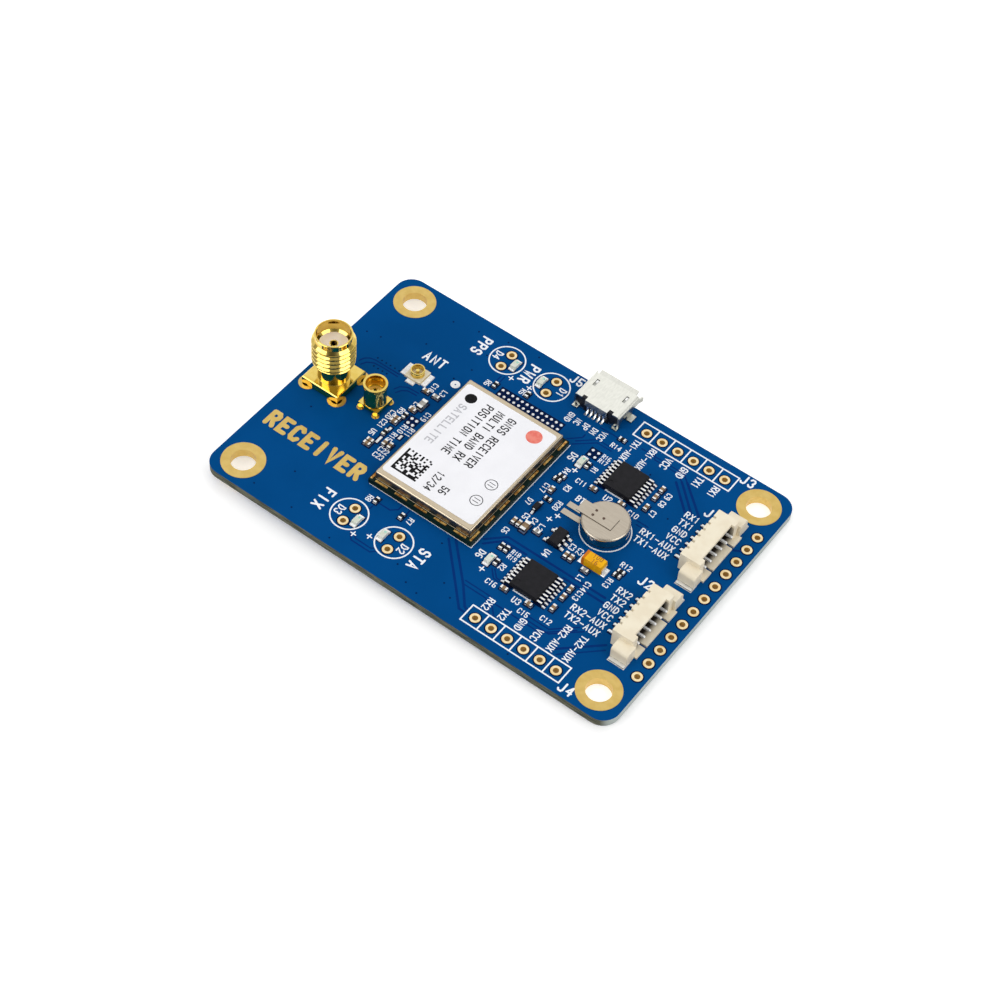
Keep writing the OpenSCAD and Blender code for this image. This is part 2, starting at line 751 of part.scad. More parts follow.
module module_shield_can() {
    color("#c9bfae") at_module(can_z) difference() {
        drawn_box(can_w, can_d, can_h, can_r);
        translate([0, 0, -cut]) drawn_box(can_w - 2 * can_t, can_d - 2 * can_t, inner_h + cut, can_r - can_t);
    }
}

module module_label() {
    label_r = 0.5;
    color("#f4f4f0") at_module(can_z + can_h) linear_extrude(label_t)
        round_rect(can_w - 2 * (can_r + label_margin_x), can_d - 2 * (can_r + label_margin_y), label_r);
}

// Leadless chips under the can: place along X and Y, width, length and share of the can's inner height
receiver_chip = [0.5, 2, 7, 7, 0.65];
oscillator = [4 - module_w / 2, 7 - module_d / 2, 2.5, 2, 0.6];
filters = [[0, 3 - module_d / 2, 1.4, 1.1, 0.4], [0, 4.6 - module_d / 2, 1.4, 1.1, 0.4]];
memory_chip = [module_w / 2 - 4, 6 - module_d / 2, 2, 3, 0.45];

// A leadless chip on the carrier under the can, with a step round its top
module inner_chip(chip) {
    rim = 0.1;
    step_share = 0.7;
    h = inner_h * chip[4];
    at_module(can_z) translate([chip[0], chip[1], 0]) {
        block(chip[2], chip[3], h * step_share);
        block(chip[2] - 2 * rim, chip[3] - 2 * rim, h);
    }
}

module module_receiver_chip() {
    color("#222226") inner_chip(receiver_chip);
}

module module_oscillator() {
    color("#b8b4a8") inner_chip(oscillator);
}

module module_filters() {
    color("#c8b890") for (chip = filters) inner_chip(chip);
}

module module_memory_chip() {
    color("#222226") inner_chip(memory_chip);
}

// USB socket

usb_tongue_w = 4;
usb_tongue_z = 1.25;
usb_tongue_t = 0.6;
usb_tongue_setback = 0.8;
usb_contact_setback = 1.1;
usb_wall_y = 1.5;
usb_contact_t = 0.15;
usb_tail = 0.75;
usb_flare = 0.2;
usb_notch_x = 2.15;
usb_notch_w = 0.7;
usb_notch_d = 0.5;

// Lifts its children to the back of the USB socket, with +Y towards the mouth
module at_usb() {
    translate([usb_x, usb_back, board_t]) children();
}

// The shell's section, wide at the top and chamfered towards the board, set in by an amount
module usb_section(inset) {
    half = usb_w / 2 - inset;
    low = usb_floor + inset;
    high = usb_h - inset;
    bend = usb_bend - inset;
    slope_in = usb_taper + inset * 0.1;
    polygon([[-half, high - bend], [-half, usb_side_h], [-half + slope_in, low], [half - slope_in, low],
        [half, usb_side_h], [half, high - bend]]);
    translate([-half + bend, high - bend]) square([2 * (half - bend), bend]);
    for (s = sides) translate([s * (half - bend), high - bend]) circle(bend);
}

// Extrudes a section in XZ along +Y
module along_y(length) {
    translate([0, length, 0]) rotate([90, 0, 0]) linear_extrude(length) children();
}

module usb_notches() {
    for (s = sides) translate([s * usb_notch_x, 0, usb_h - usb_t])
        translate([-usb_notch_w / 2, -cut, 0]) cube([usb_notch_w, usb_notch_d + cut, usb_t + cut]);
}

// One flared flap at the mouth, hinged along X at height z, that turns outwards in the given direction
module usb_flap(width, z, dir) {
    translate([-width / 2, usb_len, z]) rotate([90, 0, 90]) linear_extrude(width)
        polygon([[0, 0], [usb_lip, dir * usb_flare], [usb_lip, dir * (usb_flare - usb_t)], [0, -dir * usb_t]]);
}

module usb_shell() {
    flap_gap = 0.6;
    top_flap_w = usb_w - 2 * flap_gap;
    bottom_flap_w = usb_w - 2 * usb_taper - flap_gap;
    side_flap_h = 0.8;
    window_w = 0.45;
    window_l = 1.3;
    window_x = 2.45;
    window_y = 2.65;
    tab_w = 1.3;
    tab_y = 2.1;
    tab_out = 0.75;
    rear_foot_w = 0.85;
    rear_foot_d = 0.45;
    rear_flap_z = 1.35;
    color("#c4c6c8") at_usb() {
        difference() {
            along_y(usb_len) difference() {
                usb_section(0);
                usb_section(usb_t);
            }
            for (s = sides) translate([s * window_x, window_y + window_l / 2, usb_h - usb_t - cut])
                block(window_w, window_l, usb_t + 2 * cut);
            usb_notches();
        }
        translate([0, -usb_t / 2, rear_flap_z])
            block(2 * usb_notch_x - usb_notch_w, usb_t, usb_h - rear_flap_z);
        usb_flap(top_flap_w, usb_h, 1);
        usb_flap(bottom_flap_w, usb_floor, -1);
        for (s = sides) {
            translate([s * usb_w / 2, usb_len, usb_side_h]) linear_extrude(side_flap_h)
                polygon([[0, 0], [s * usb_flare, usb_lip], [s * (usb_flare - usb_t), usb_lip], [-s * usb_t, 0]]);
            translate([s * (usb_w - usb_t) / 2, tab_y + tab_w / 2, 0]) block(usb_t, tab_w, usb_side_h);
            translate([s * (usb_w + tab_out) / 2, tab_y + tab_w / 2, 0]) block(tab_out, tab_w, usb_t);
            translate([s * (usb_w - usb_t) / 2, rear_foot_d / 2, 0]) block(usb_t, rear_foot_d, usb_side_h);
            translate([s * (usb_w - rear_foot_w) / 2, -rear_foot_d / 2, 0])
                block(rear_foot_w, rear_foot_d, usb_t);
            translate([s * (usb_w - usb_t) / 2, 0, 0]) block(usb_t, rear_foot_d, usb_t);
        }
    }
}

// One contact: a strip below the tongue, a drop behind the body and a tail on the board
module usb_contact() {
    strip_end = usb_len - usb_contact_setback;
    rotate([90, 0, 90]) linear_extrude(usb_contact_w, center = true)
        polygon([[strip_end, usb_tongue_z], [strip_end, usb_tongue_z - usb_contact_t],
            [0, usb_tongue_z - usb_contact_t], [0, 0], [-usb_tail, 0], [-usb_tail, usb_contact_t],
            [-usb_contact_t, usb_contact_t], [-usb_contact_t, usb_tongue_z]]);
}

module usb_contact_row() {
    for (i = [-2 : 2]) translate([i * usb_pitch, 0, 0]) usb_contact();
}

module usb_insulator() {
    tongue_l = usb_len - usb_tongue_setback;
    ledge_d = 0.1;
    ledge_h = 1.1;
    color("#1c1c1e") at_usb() difference() {
        union() {
            along_y(usb_wall_y) usb_section(usb_t);
            translate([0, -ledge_d / 2, standoff]) block(usb_tongue_w, ledge_d, ledge_h);
            translate([0, tongue_l / 2, usb_tongue_z]) block(usb_tongue_w, tongue_l, usb_tongue_t);
            for (s = sides) translate([s * usb_notch_x, usb_notch_d / 2, usb_h - usb_t])
                block(usb_notch_w, usb_notch_d, usb_t);
        }
        usb_contact_row();
    }
}

module usb_contacts() {
    color("#cfae62") at_usb() usb_contact_row();
}

// Side-entry sockets

socket_back_wall = 0.8;
socket_floor = 0.3;
socket_roof = 0.5;
tail_reach = 1.3;
tip_setback = 0.7;
tab_len = 2.4;
tab_in = 0.8;
block_x = -1.65;

// Places of a socket's contacts from its middle
contact_ys = [for (i = [0 : socket_count - 1]) (i - (socket_count - 1) / 2) * socket_pitch];

module at_socket(y) {
    translate([socket_front, y, board_t]) children();
}

// One contact: a blade in the mouth, a drop behind the housing and a tail on the board
module socket_contact() {
    back = -socket_depth;
    rotate([90, 0, 0]) linear_extrude(blade, center = true)
        polygon([[-tip_setback - blade / 2, blade_z + blade], [-tip_setback, blade_z + blade / 2],
            [-tip_setback - blade / 2, blade_z], [back, blade_z], [back, 0],
            [back - tail_reach, 0], [back - tail_reach, blade * 0.6], [back - blade, blade * 0.6],
            [back - blade, blade_z + blade]]);
}

module socket_contact_row() {
    for (y = contact_ys) translate([0, y, 0]) socket_contact();
}

module socket_tab_pair() {
    for (s = sides) translate([block_x, s * (socket_w / 2 + end_block + (tab_reach - tab_in) / 2), 0])
        block(tab_len, tab_reach + tab_in, tab_t);
}

module socket_housing() {
    mouth_w = socket_w - 2 * socket_wall;
    notch_w = 0.35;
    notch_d = 0.45;
    notch_h = 0.7;
    tongue_w = contact_span * 0.73;
    slit_w = 0.38;
    slit_l = 1.6;
    block_l = 2.5;
    tab_shadow = 0.15;
    difference() {
        union() {
            translate([-socket_depth / 2, 0, 0]) block(socket_depth, socket_w, socket_floor);
            translate([-(socket_depth + wall_setback) / 2, 0, 0])
                block(socket_depth - wall_setback, socket_w, socket_h);
            for (s = sides) translate([block_x + block_l / 2, 0, 0]) rotate([90, 0, -90]) linear_extrude(block_l)
                socket_end(s);
        }
        translate([(socket_back_wall - socket_depth) / 2 + cut, 0, socket_floor])
            block(socket_depth - socket_back_wall + 2 * cut, mouth_w, socket_h - socket_floor - socket_roof);
        translate([-roof_setback / 2 + cut, 0, socket_floor])
            block(roof_setback + 2 * cut, mouth_w, socket_h);
        for (y = contact_ys) translate([-socket_depth + notch_d / 2 - cut, y, socket_h - notch_h])
            block(notch_d + 2 * cut, notch_w, notch_h + cut);
        for (s = sides) translate([-slit_l / 2, s * (tongue_w + slit_w) / 2, -cut])
            block(slit_l + 2 * cut, slit_w, socket_floor + 2 * cut);
        for (s = sides) translate([block_x, s * (socket_w / 2 + end_block), 0])
            block(tab_len, tab_in, tab_t + tab_shadow);
        socket_contact_row();
        socket_tab_pair();
    }
}

// The section of the block at one end, round at its outer top edge
module socket_end(s) {
    bend = 0.55;
    inner = socket_w / 2 - cut;
    outer = socket_w / 2 + end_block;
    low = end_block_h - bend;
    polygon([[-s * inner, 0], [-s * outer, 0], [-s * outer, low], [-s * (outer - bend), low],
        [-s * (outer - bend), end_block_h], [-s * inner, end_block_h]]);
    translate([-s * (outer - bend), low]) circle(bend);
}

module upper_socket_housing() {
    color("#eee4cd") at_socket(socket_ys[1]) socket_housing();
}

module upper_socket_contacts() {
    color("#cdbf9c") at_socket(socket_ys[1]) socket_contact_row();
}

module upper_socket_tabs() {
    color("#b9bcc0") at_socket(socket_ys[1]) socket_tab_pair();
}

module lower_socket_housing() {
    color("#eee4cd") at_socket(socket_ys[0]) socket_housing();
}

module lower_socket_contacts() {
    color("#cdbf9c") at_socket(socket_ys[0]) socket_contact_row();
}

module lower_socket_tabs() {
    color("#b9bcc0") at_socket(socket_ys[0]) socket_tab_pair();
}

// Chips with gull-wing leads

lead_root = 0.3;
lead_foot = 0.5;

// Leads along both X sides of a chip, each row a list of places along Y
module lead_rows(body_w, span, exit_z, width, right_ys, left_ys) {
    reach = (span - body_w) / 2 + lead_root;
    for (y = right_ys) translate([body_w / 2 - lead_root, y, 0]) gull_lead(reach, exit_z, width, lead_foot);
    for (y = left_ys) translate([lead_root - body_w / 2, y, 0]) rotate(180)
        gull_lead(reach, exit_z, width, lead_foot);
}

shifter_ys = [for (i = [0 : shifter_leads - 1]) (i - (shifter_leads - 1) / 2) * shifter_pitch];

module shifter_lead_rows() {
    lead_w = 0.25;
    lead_rows(shifter_w, shifter_span, (shifter_h + standoff - lead_t) / 2, lead_w, shifter_ys, shifter_ys);
}

module shifter_body() {
    dot_d = 0.8;
    dot_depth = 0.06;
    dot_in = 0.8;
    draft = 0.12;
    difference() {
        translate([0, 0, standoff]) moulded_body(shifter_w, shifter_d, shifter_h - standoff, draft);
        shifter_lead_rows();
        translate([dot_in - shifter_w / 2, dot_in - shifter_d / 2, shifter_h - dot_depth])
            cylinder(d = dot_d, h = dot_depth + cut);
    }
}

module at_place(place) {
    translate([place[0], place[1], board_t]) children();
}

module upper_shifter_body() {
    color("#26262a") at_place(shifter_places[0]) shifter_body();
}

module upper_shifter_leads() {
    color("#b9bcc0") at_place(shifter_places[0]) shifter_lead_rows();
}

module lower_shifter_body() {
    color("#26262a") at_place(shifter_places[1]) shifter_body();
}

module lower_shifter_leads() {
    color("#b9bcc0") at_place(shifter_places[1]) shifter_lead_rows();
}

regulator_w = 1.6;
regulator_d = 2.9;
regulator_h = 1.05;

module regulator_lead_rows() {
    span = 2.8;
    pitch = 0.95;
    lead_w = 0.4;
    lead_rows(regulator_w, span, (regulator_h + standoff - lead_t) / 2, lead_w, [-pitch, 0, pitch], [-pitch, pitch]);
}

module regulator_body() {
    draft = 0.1;
    color("#26262a") at_place(regulator_place) difference() {
        translate([0, 0, standoff]) moulded_body(regulator_w, regulator_d, regulator_h - standoff, draft);
        regulator_lead_rows();
    }
}

module regulator_leads() {
    color("#b9bcc0") at_place(regulator_place) regulator_lead_rows();
}

diode_w = 1.2;
diode_d = 0.85;
diode_h = 0.65;

module diode_lead_rows() {
    span = 2.2;
    lead_w = 0.3;
    rotate(90) lead_rows(diode_w, span, (diode_h + standoff - lead_t) / 2, lead_w, [0], [0]);
}

module diode_body() {
    draft = 0.08;
    color("#26262a") at_place(diode_place) difference() {
        translate([0, 0, standoff]) rotate(90) moulded_body(diode_w, diode_d, diode_h - standoff, draft);
        diode_lead_rows();
    }
}

module diode_leads() {
    color("#b9bcc0") at_place(diode_place) diode_lead_rows();
}

// Back-up coin cell

cell_can_z = 0.75;
cell_top = cell_tab_t + cell_h;

module cell_can() {
    bend = 0.35;
    r = cell_d / 2;
    color("#8d8f92") at_place(cell_place) rotate_extrude() {
        translate([0, cell_can_z]) square([r, cell_top - cell_can_z - bend]);
        translate([0, cell_can_z]) square([r - bend, cell_top - cell_can_z]);
        translate([r - bend, cell_top - bend]) circle(bend);
    }
}

module cell_gasket() {
    gasket_h = 0.3;
    gasket_rim = 0.15;
    color("#3a3a3c") at_place(cell_place) translate([0, 0, cell_can_z - gasket_h]) difference() {
        cylinder(d = cell_d - 2 * gasket_rim, h = gasket_h);
        translate([0, 0, -cut]) cylinder(d = cell_cap_d, h = gasket_h + 2 * cut);
    }
}

module cell_cap() {
    color("#9a9c9e") at_place(cell_place) translate([0, 0, cell_tab_t]) {
        edge = 0.1;
        cylinder(d1 = cell_cap_d - 2 * edge, d2 = cell_cap_d, h = edge);
        translate([0, 0, edge]) cylinder(d = cell_cap_d, h = cell_can_z - cell_tab_t - edge);
    }
}

tab_foot_end = -6.3;
tab_bend = -4.1;
tab_plate_end = 1.4;
tab_plate_w = 2.1;
tab_strip_w = 0.9;

// The tab welded to the cell's top, with a strip that drops to a foot on the board
module cell_top_tab() {
    strip_y = 0.6;
    color("#c9cacb") at_place(cell_place) {
        translate([tab_bend, -tab_plate_w / 2, cell_top])
            cube([tab_plate_end - tab_bend, tab_plate_w, cell_tab_t]);
        translate([tab_bend, strip_y - tab_strip_w / 2, 0]) cube([cell_tab_t, tab_strip_w, cell_top]);
        translate([tab_foot_end, strip_y - tab_strip_w / 2, 0])
            cube([tab_bend - tab_foot_end, tab_strip_w, cell_tab_t]);
    }
}

module cell_bottom_tab() {
    strip_y = -0.8;
    plate_start = -1.4;
    color("#c9cacb") at_place(cell_place) {
        translate([plate_start, -tab_plate_w / 2, 0]) cube([2 * tab_plate_end, tab_plate_w, cell_tab_t]);
        translate([tab_foot_end, strip_y - tab_strip_w / 2, 0])
            cube([plate_start - tab_foot_end, tab_strip_w, cell_tab_t]);
    }
}

// Tantalum capacitor

tantalum_t = 0.12;
tantalum_fold = 0.8;

// The folded terminal strips: an end plate and a foot under the body
module tantalum_strips() {
    strip_d = tantalum_d * 0.75;
    foot_reach = 0.5;
    for (s = sides) {
        translate([s * (tantalum_w + tantalum_t) / 2, 0, 0]) block(tantalum_t, strip_d, tantalum_h * 0.55);
        translate([s * (tantalum_w - tantalum_fold + foot_reach) / 2, 0, 0])
            block(tantalum_fold + foot_reach, strip_d, tantalum_t);
    }
}

module tantalum_body() {
    color("#e0a63c") at_place(tantalum_place) difference() {
        translate([0, 0, standoff]) tantalum_shape();
        tantalum_strips();
    }
}

// The moulded block, square below and drawn in a little above
module tantalum_shape() {
    draft = 0.06;
    h = tantalum_h - standoff;
    intersection() {
        rotate([90, 0, 0]) linear_extrude(tantalum_d, center = true) tantalum_side(tantalum_w, h, draft);
        rotate([90, 0, 90]) linear_extrude(tantalum_w, center = true) tantalum_side(tantalum_d, h, draft);
    }
}

module tantalum_side(w, h, draft) {
    polygon([[-w / 2, 0], [w / 2, 0], [w / 2, h * 0.6], [w / 2 - draft, h], [-w / 2 + draft, h], [-w / 2, h * 0.6]]);
}

module tantalum_terminals() {
    color("#b9bcc0") at_place(tantalum_place) tantalum_strips();
}

// Chip parts

module resistor_bodies() {
    color("#26262a") at_each(resistors) chip_body(chip_l, chip_w, resistor_h);
}

module resistor_caps() {
    color("#c4c6c8") at_each(resistors) chip_caps(chip_l, chip_w, resistor_h);
}

module capacitor_bodies() {
    color("#a89474") {
        at_each(capacitors) chip_body(chip_l, chip_w, capacitor_h);
        at_each(large_capacitors) chip_body(large_chip_l, large_chip_w, large_chip_w);
    }
}

module capacitor_caps() {
    color("#c4c6c8") {
        at_each(capacitors) chip_caps(chip_l, chip_w, capacitor_h);
        at_each(large_capacitors) chip_caps(large_chip_l, large_chip_w, large_chip_w);
    }
}

module inductor_bodies() {
    color("#55585c") {
        at_each(inductors) chip_body(chip_l, chip_w, capacitor_h);
        at_each(large_inductors) chip_body(large_chip_l, large_chip_w, large_chip_w);
    }
}

module inductor_caps() {
    color("#d8d6d0") {
        at_each(inductors) chip_caps(chip_l, chip_w, capacitor_h);
        at_each(large_inductors) chip_caps(large_chip_l, large_chip_w, large_chip_w);
    }
}

// Indicator lamps

lamp_base_h = 0.2;
lamp_end = 0.3;

module lamp_bases() {
    color("#e8e8e0") at_each(lamps) block(lamp_l - 2 * lamp_end, lamp_w, lamp_base_h);
}

module lamp_lenses() {
    color("#d9e4c8") at_each(lamps) translate([0, 0, lamp_base_h]) lamp_lens();
}

// A clear block with sloped ends
module lamp_lens() {
    slope = 0.08;
    w = lamp_l - 2 * lamp_end;
    h = lamp_h - lamp_base_h;
    rotate([90, 0, 0]) linear_extrude(lamp_w, center = true)
        polygon([[-w / 2, 0], [w / 2, 0], [w / 2 - slope, h], [-w / 2 + slope, h]]);
}

module lamp_terminals() {
    color("#d2b464") at_each(lamps) for (s = sides) translate([s * (lamp_l - lamp_end) / 2, 0, 0])
        block(lamp_end, lamp_w, lamp_base_h);
}

module bare_pad_solder() {
    color("#b9bcc0") on_board() for (p = bare_pads) translate([p[0], p[1], 0]) block(p[2], p[3], tin_t);
}

circuit_board();
mounting_hole_lands();
upper_header_lands();
lower_header_lands();
edge_row_lands();
indicator_pair_lands();
jack_leg_lands();
sma_body();
sma_insulator();
sma_contact();
mmcx_body();
mmcx_insulator();
mmcx_contact();
leg_solder_joints();
coax_base();
coax_shell();
coax_pin();
module_carrier();
module_lands();
module_shield_can();
module_label();
module_receiver_chip();
module_oscillator();
module_filters();
module_memory_chip();
usb_shell();
usb_insulator();
usb_contacts();
upper_socket_housing();
upper_socket_contacts();
upper_socket_tabs();
lower_socket_housing();
lower_socket_contacts();
lower_socket_tabs();
upper_shifter_body();
upper_shifter_leads();
lower_shifter_body();
lower_shifter_leads();
regulator_body();
regulator_leads();
diode_body();
diode_leads();
cell_can();
cell_gasket();
cell_cap();
cell_top_tab();
cell_bottom_tab();
tantalum_body();
tantalum_terminals();
resistor_bodies();
resistor_caps();
capacitor_bodies();
capacitor_caps();
inductor_bodies();
inductor_caps();
lamp_bases();
lamp_lenses();
lamp_terminals();
bare_pad_solder();
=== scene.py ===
"""Looks of a satellite receiver board: finishes, print, thread, solder and studio around its CAD frame."""
import logging
import math
import random
from collections.abc import Callable, Iterable, Sequence
from dataclasses import dataclass
from enum import Enum

import bmesh
import bpy
from mathutils import Matrix, Vector


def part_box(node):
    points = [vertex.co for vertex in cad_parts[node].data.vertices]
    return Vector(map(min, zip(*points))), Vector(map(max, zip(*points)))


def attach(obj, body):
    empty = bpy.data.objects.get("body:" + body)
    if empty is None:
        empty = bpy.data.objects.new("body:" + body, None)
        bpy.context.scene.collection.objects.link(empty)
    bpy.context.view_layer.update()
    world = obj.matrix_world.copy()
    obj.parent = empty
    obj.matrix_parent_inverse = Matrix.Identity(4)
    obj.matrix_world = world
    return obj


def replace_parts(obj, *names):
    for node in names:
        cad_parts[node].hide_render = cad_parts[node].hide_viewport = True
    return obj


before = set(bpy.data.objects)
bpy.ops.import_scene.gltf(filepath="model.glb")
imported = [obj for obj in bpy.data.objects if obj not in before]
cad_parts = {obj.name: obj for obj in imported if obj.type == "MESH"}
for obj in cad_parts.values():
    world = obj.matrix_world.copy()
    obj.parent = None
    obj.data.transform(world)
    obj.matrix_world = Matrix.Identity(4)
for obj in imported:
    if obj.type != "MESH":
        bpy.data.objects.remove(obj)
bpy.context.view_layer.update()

MM = 0.001
STROKE_STEP = 0.0006
STROKE_LEVELS = 8
BODY = "root"
LOG = logging.getLogger("receiver_board")

Colour = tuple[float, float, float]
Place = tuple[float, float, float]
Spot = tuple[float, float]
Mark = tuple[str, float, float]
Corners = tuple[Vector, Vector]
Settings = dict[str, object]
Inputs = dict[str | int, object]


def rgb(red: int, green: int, blue: int) -> Colour:
    """Turns screen values from 0 to 255 into a linear colour.

    Args:
        red: Screen value of red.
        green: Screen value of green.
        blue: Screen value of blue.

    Returns:
        The linear colour.
    """

    def linear(value: int) -> float:
        """One channel, without the screen's curve."""
        share = value / 255
        return share / 12.92 if share <= 0.04045 else ((share + 0.055) / 1.055) ** 2.4

    return linear(red), linear(green), linear(blue)


class Value:
    """A shader value that takes Python operators, each of which adds a Math node."""

    def __init__(self, graph: "Graph", socket: bpy.types.NodeSocket) -> None:
        """Keeps the graph and the output socket."""
        self.graph = graph
        self.socket = socket

    def __add__(self, other: "Number") -> "Value":
        """Sum."""
        return self.graph.math("ADD", self, other)

    __radd__ = __add__

    def __sub__(self, other: "Number") -> "Value":
        """Difference."""
        return self.graph.math("SUBTRACT", self, other)

    def __rsub__(self, other: "Number") -> "Value":
        """Difference with the number first."""
        return self.graph.math("SUBTRACT", other, self)

    def __mul__(self, other: "Number") -> "Value":
        """Product."""
        return self.graph.math("MULTIPLY", self, other)

    __rmul__ = __mul__

    def __gt__(self, other: "Number") -> "Value":
        """1 where this is greater, or else 0."""
        return self.graph.math("GREATER_THAN", self, other)

    def __lt__(self, other: "Number") -> "Value":
        """1 where this is less, or else 0."""
        return self.graph.math("LESS_THAN", self, other)

    def __abs__(self) -> "Value":
        """Absolute value."""
        return self.graph.math("ABSOLUTE", self, 0.0)

    def larger(self, other: "Number") -> "Value":
        """The larger of the two."""
        return self.graph.math("MAXIMUM", self, other)

    def ease(self, low: float, high: float) -> "Value":
        """Runs smoothly from 0 at low to 1 at high.

        Args:
            low: Value at which the result is 0.
            high: Value at which the result is 1.

        Returns:
            The eased value.
        """
        node = self.graph.node(
            "ShaderNodeMapRange",
            {"interpolation_type": "SMOOTHSTEP"},
            {"Value": self, "From Min": low, "From Max": high},
        )
        return Value(self.graph, node.outputs["Result"])


Number = Value | float


class Graph:
    """A node tree with one method that adds any node."""

    def __init__(self, tree: bpy.types.NodeTree) -> None:
        """Empties the tree and keeps it."""
        tree.nodes.clear()
        self.tree = tree

    def node(self, kind: str, settings: Settings, inputs: Inputs) -> bpy.types.Node:
        """Adds a node, sets it up and then fills its sockets.

        Args:
            kind: The node's type.
            settings: Properties of the node, set before its sockets.
            inputs: Socket names or numbers, each with a constant, a Value or an output socket.

        Returns:
            The new node.
        """
        node = self.tree.nodes.new(kind)
        for name, setting in settings.items():
            setattr(node, name, setting)
        for name, given in inputs.items():
            socket = node.inputs[name]
            if isinstance(given, Value):
                self.tree.links.new(given.socket, socket)
            elif isinstance(given, bpy.types.NodeSocket):
                self.tree.links.new(given, socket)
            elif socket.type == "RGBA":
                socket.default_value = (*given, 1.0)
            else:
                socket.default_value = given
        return node

    def math(self, operation: str, first: Number, second: Number) -> Value:
        """Adds a Math node.

        Args:
            operation: The node's operation.
            first: Its first value.
            second: Its second value.

        Returns:
            The result.
        """
        node = self.node("ShaderNodeMath", {"operation": operation}, {0: first, 1: second})
        return Value(self, node.outputs["Value"])

    def mix(self, share: Number, first: Colour | Value, second: Colour | Value) -> Value:
        """Blends two colours.

        Args:
            share: 0 gives the first colour and 1 the second.
            first: The first colour.
            second: The second colour.

        Returns:
            The blended colour.
        """
        node = self.node("ShaderNodeMix", {"data_type": "RGBA"}, {0: share, 6: first, 7: second})
        return Value(self, node.outputs[2])

    def place(self, stretch: Sequence[float] = (1.0, 1.0, 1.0)) -> bpy.types.NodeSocket:
        """Gives the place on the board in millimetres.

        Args:
            stretch: Factor of each axis, for streaks.

        Returns:
            The vector socket.
        """
        source = self.node("ShaderNodeTexCoord", {}, {})
        scaled = self.node(
            "ShaderNodeVectorMath",
            {"operation": "MULTIPLY"},
            {0: source.outputs["Object"], 1: tuple(factor / MM for factor in stretch)},
        )
        return scaled.outputs["Vector"]

    def axis(self, vector: bpy.types.NodeSocket, name: str) -> Value:
        """Takes X, Y or Z from a vector."""
        return Value(self, self.node("ShaderNodeSeparateXYZ", {}, {0: vector}).outputs[name])

    def noise(
        self, grain: float, detail: float = 2.0, stretch: Sequence[float] = (1.0, 1.0, 1.0)
    ) -> Value:
        """Gives smooth noise from 0 to 1.

        Args:
            grain: Size of the noise in millimetres.
            detail: Finer layers in it.
            stretch: Factor of each axis.

        Returns:
            The noise.
        """
        node = self.node(
            "ShaderNodeTexNoise",
            {},
            {"Vector": self.place(stretch), "Scale": 1 / grain, "Detail": detail},
        )
        return Value(self, node.outputs["Fac"])

    def facing_up(self) -> Value:
        """Gives how far the surface faces up or down, from 0 to 1."""
        geometry = self.node("ShaderNodeNewGeometry", {}, {})
        return abs(self.axis(geometry.outputs["Normal"], "Z"))

    def bump(self, height: Value, depth: float) -> bpy.types.NodeSocket:
        """Turns a height from 0 to 1 into a normal.

        Args:
            height: The height.
            depth: Its full depth in millimetres.

        Returns:
            The normal's socket.
        """
        node = self.node("ShaderNodeBump", {}, {"Height": height, "Strength": 1.0, "Distance": depth * MM})
        return node.outputs["Normal"]


@dataclass(frozen=True)
class Finish:
    """One surface finish: a colour that drifts to a second one, with uneven gloss and a fine grain."""

    name: str
    colour: Colour
    second: Colour
    roughness: float
    metallic: float = 0.0
    drift: float = 1.5
    gloss_swing: float = 0.08
    grain: float = 0.15
    depth: float = 0.004
    specular: float = 0.4

    def tint(self, graph: Graph) -> Value:
        """Gives the colour over the surface."""
        return graph.mix(graph.noise(self.drift, 3.0).ease(0.35, 0.65), self.colour, self.second)

    def relief(self, graph: Graph) -> Value:
        """Gives the height of the grain."""
        return graph.noise(self.grain, 2.0)

    def gloss(self, graph: Graph) -> Value:
        """Gives the roughness over the surface."""
        return self.roughness + (graph.noise(self.drift * 0.6, 3.0) - 0.5) * self.gloss_swing

    def shader(self, graph: Graph) -> bpy.types.NodeSocket:
        """Builds the surface shader.

        Args:
            graph: The graph that takes its nodes.

        Returns:
            The shader's socket.
        """
        node = graph.node(
            "ShaderNodeBsdfPrincipled",
            {},
            {
                "Base Color": self.tint(graph),
                "Roughness": self.gloss(graph),
                "Metallic": self.metallic,
                "Normal": graph.bump(self.relief(graph), self.depth),
                "Specular IOR Level": self.specular,
            },
        )
        return node.outputs["BSDF"]

    def material(self) -> bpy.types.Material:
        """Makes the material when it is first asked for.

        Returns:
            The material.
        """
        name = f"look_{self.name}"
        known = bpy.data.materials.get(name)
        if known is not None:
            return known
        made = bpy.data.materials.new(name)
        made.use_nodes = True
        graph = Graph(made.node_tree)
        graph.node("ShaderNodeOutputMaterial", {}, {"Surface": self.shader(graph)})
        return made


@dataclass(frozen=True)
class MaskFinish(Finish):
    """Glossy solder mask on the faces of a board, with bare laminate on its edges and painted light on the
    edge that faces +X.
    """

    laminate: Colour = rgb(112, 112, 96)
    streak: Colour = rgb(62, 66, 58)
    # Painted light: the colour of the edge that faces +X.
    painted_light_edge: Colour = rgb(178, 186, 182)

    def tint(self, graph: Graph) -> Value:
        """Puts mask on the faces and laminate on the edges, with painted light making the end towards the
        sockets paler.

        Args:
            graph: The graph that takes the nodes.

        Returns:
            The colour.
        """
        mask = Finish.tint(self, graph)
        layers = graph.noise(0.6, 4.0, (0.25, 0.25, 6.0)).ease(0.4, 0.62)
        edge = graph.mix(layers, self.laminate, self.streak)
        normal = graph.node("ShaderNodeNewGeometry", {}, {}).outputs["Normal"]
        # Painted light on the edge that faces +X.
        edge = graph.mix(graph.axis(normal, "X").ease(0.4, 0.9), edge, self.painted_light_edge)
        return graph.mix(graph.facing_up().ease(0.3, 0.6), edge, mask)


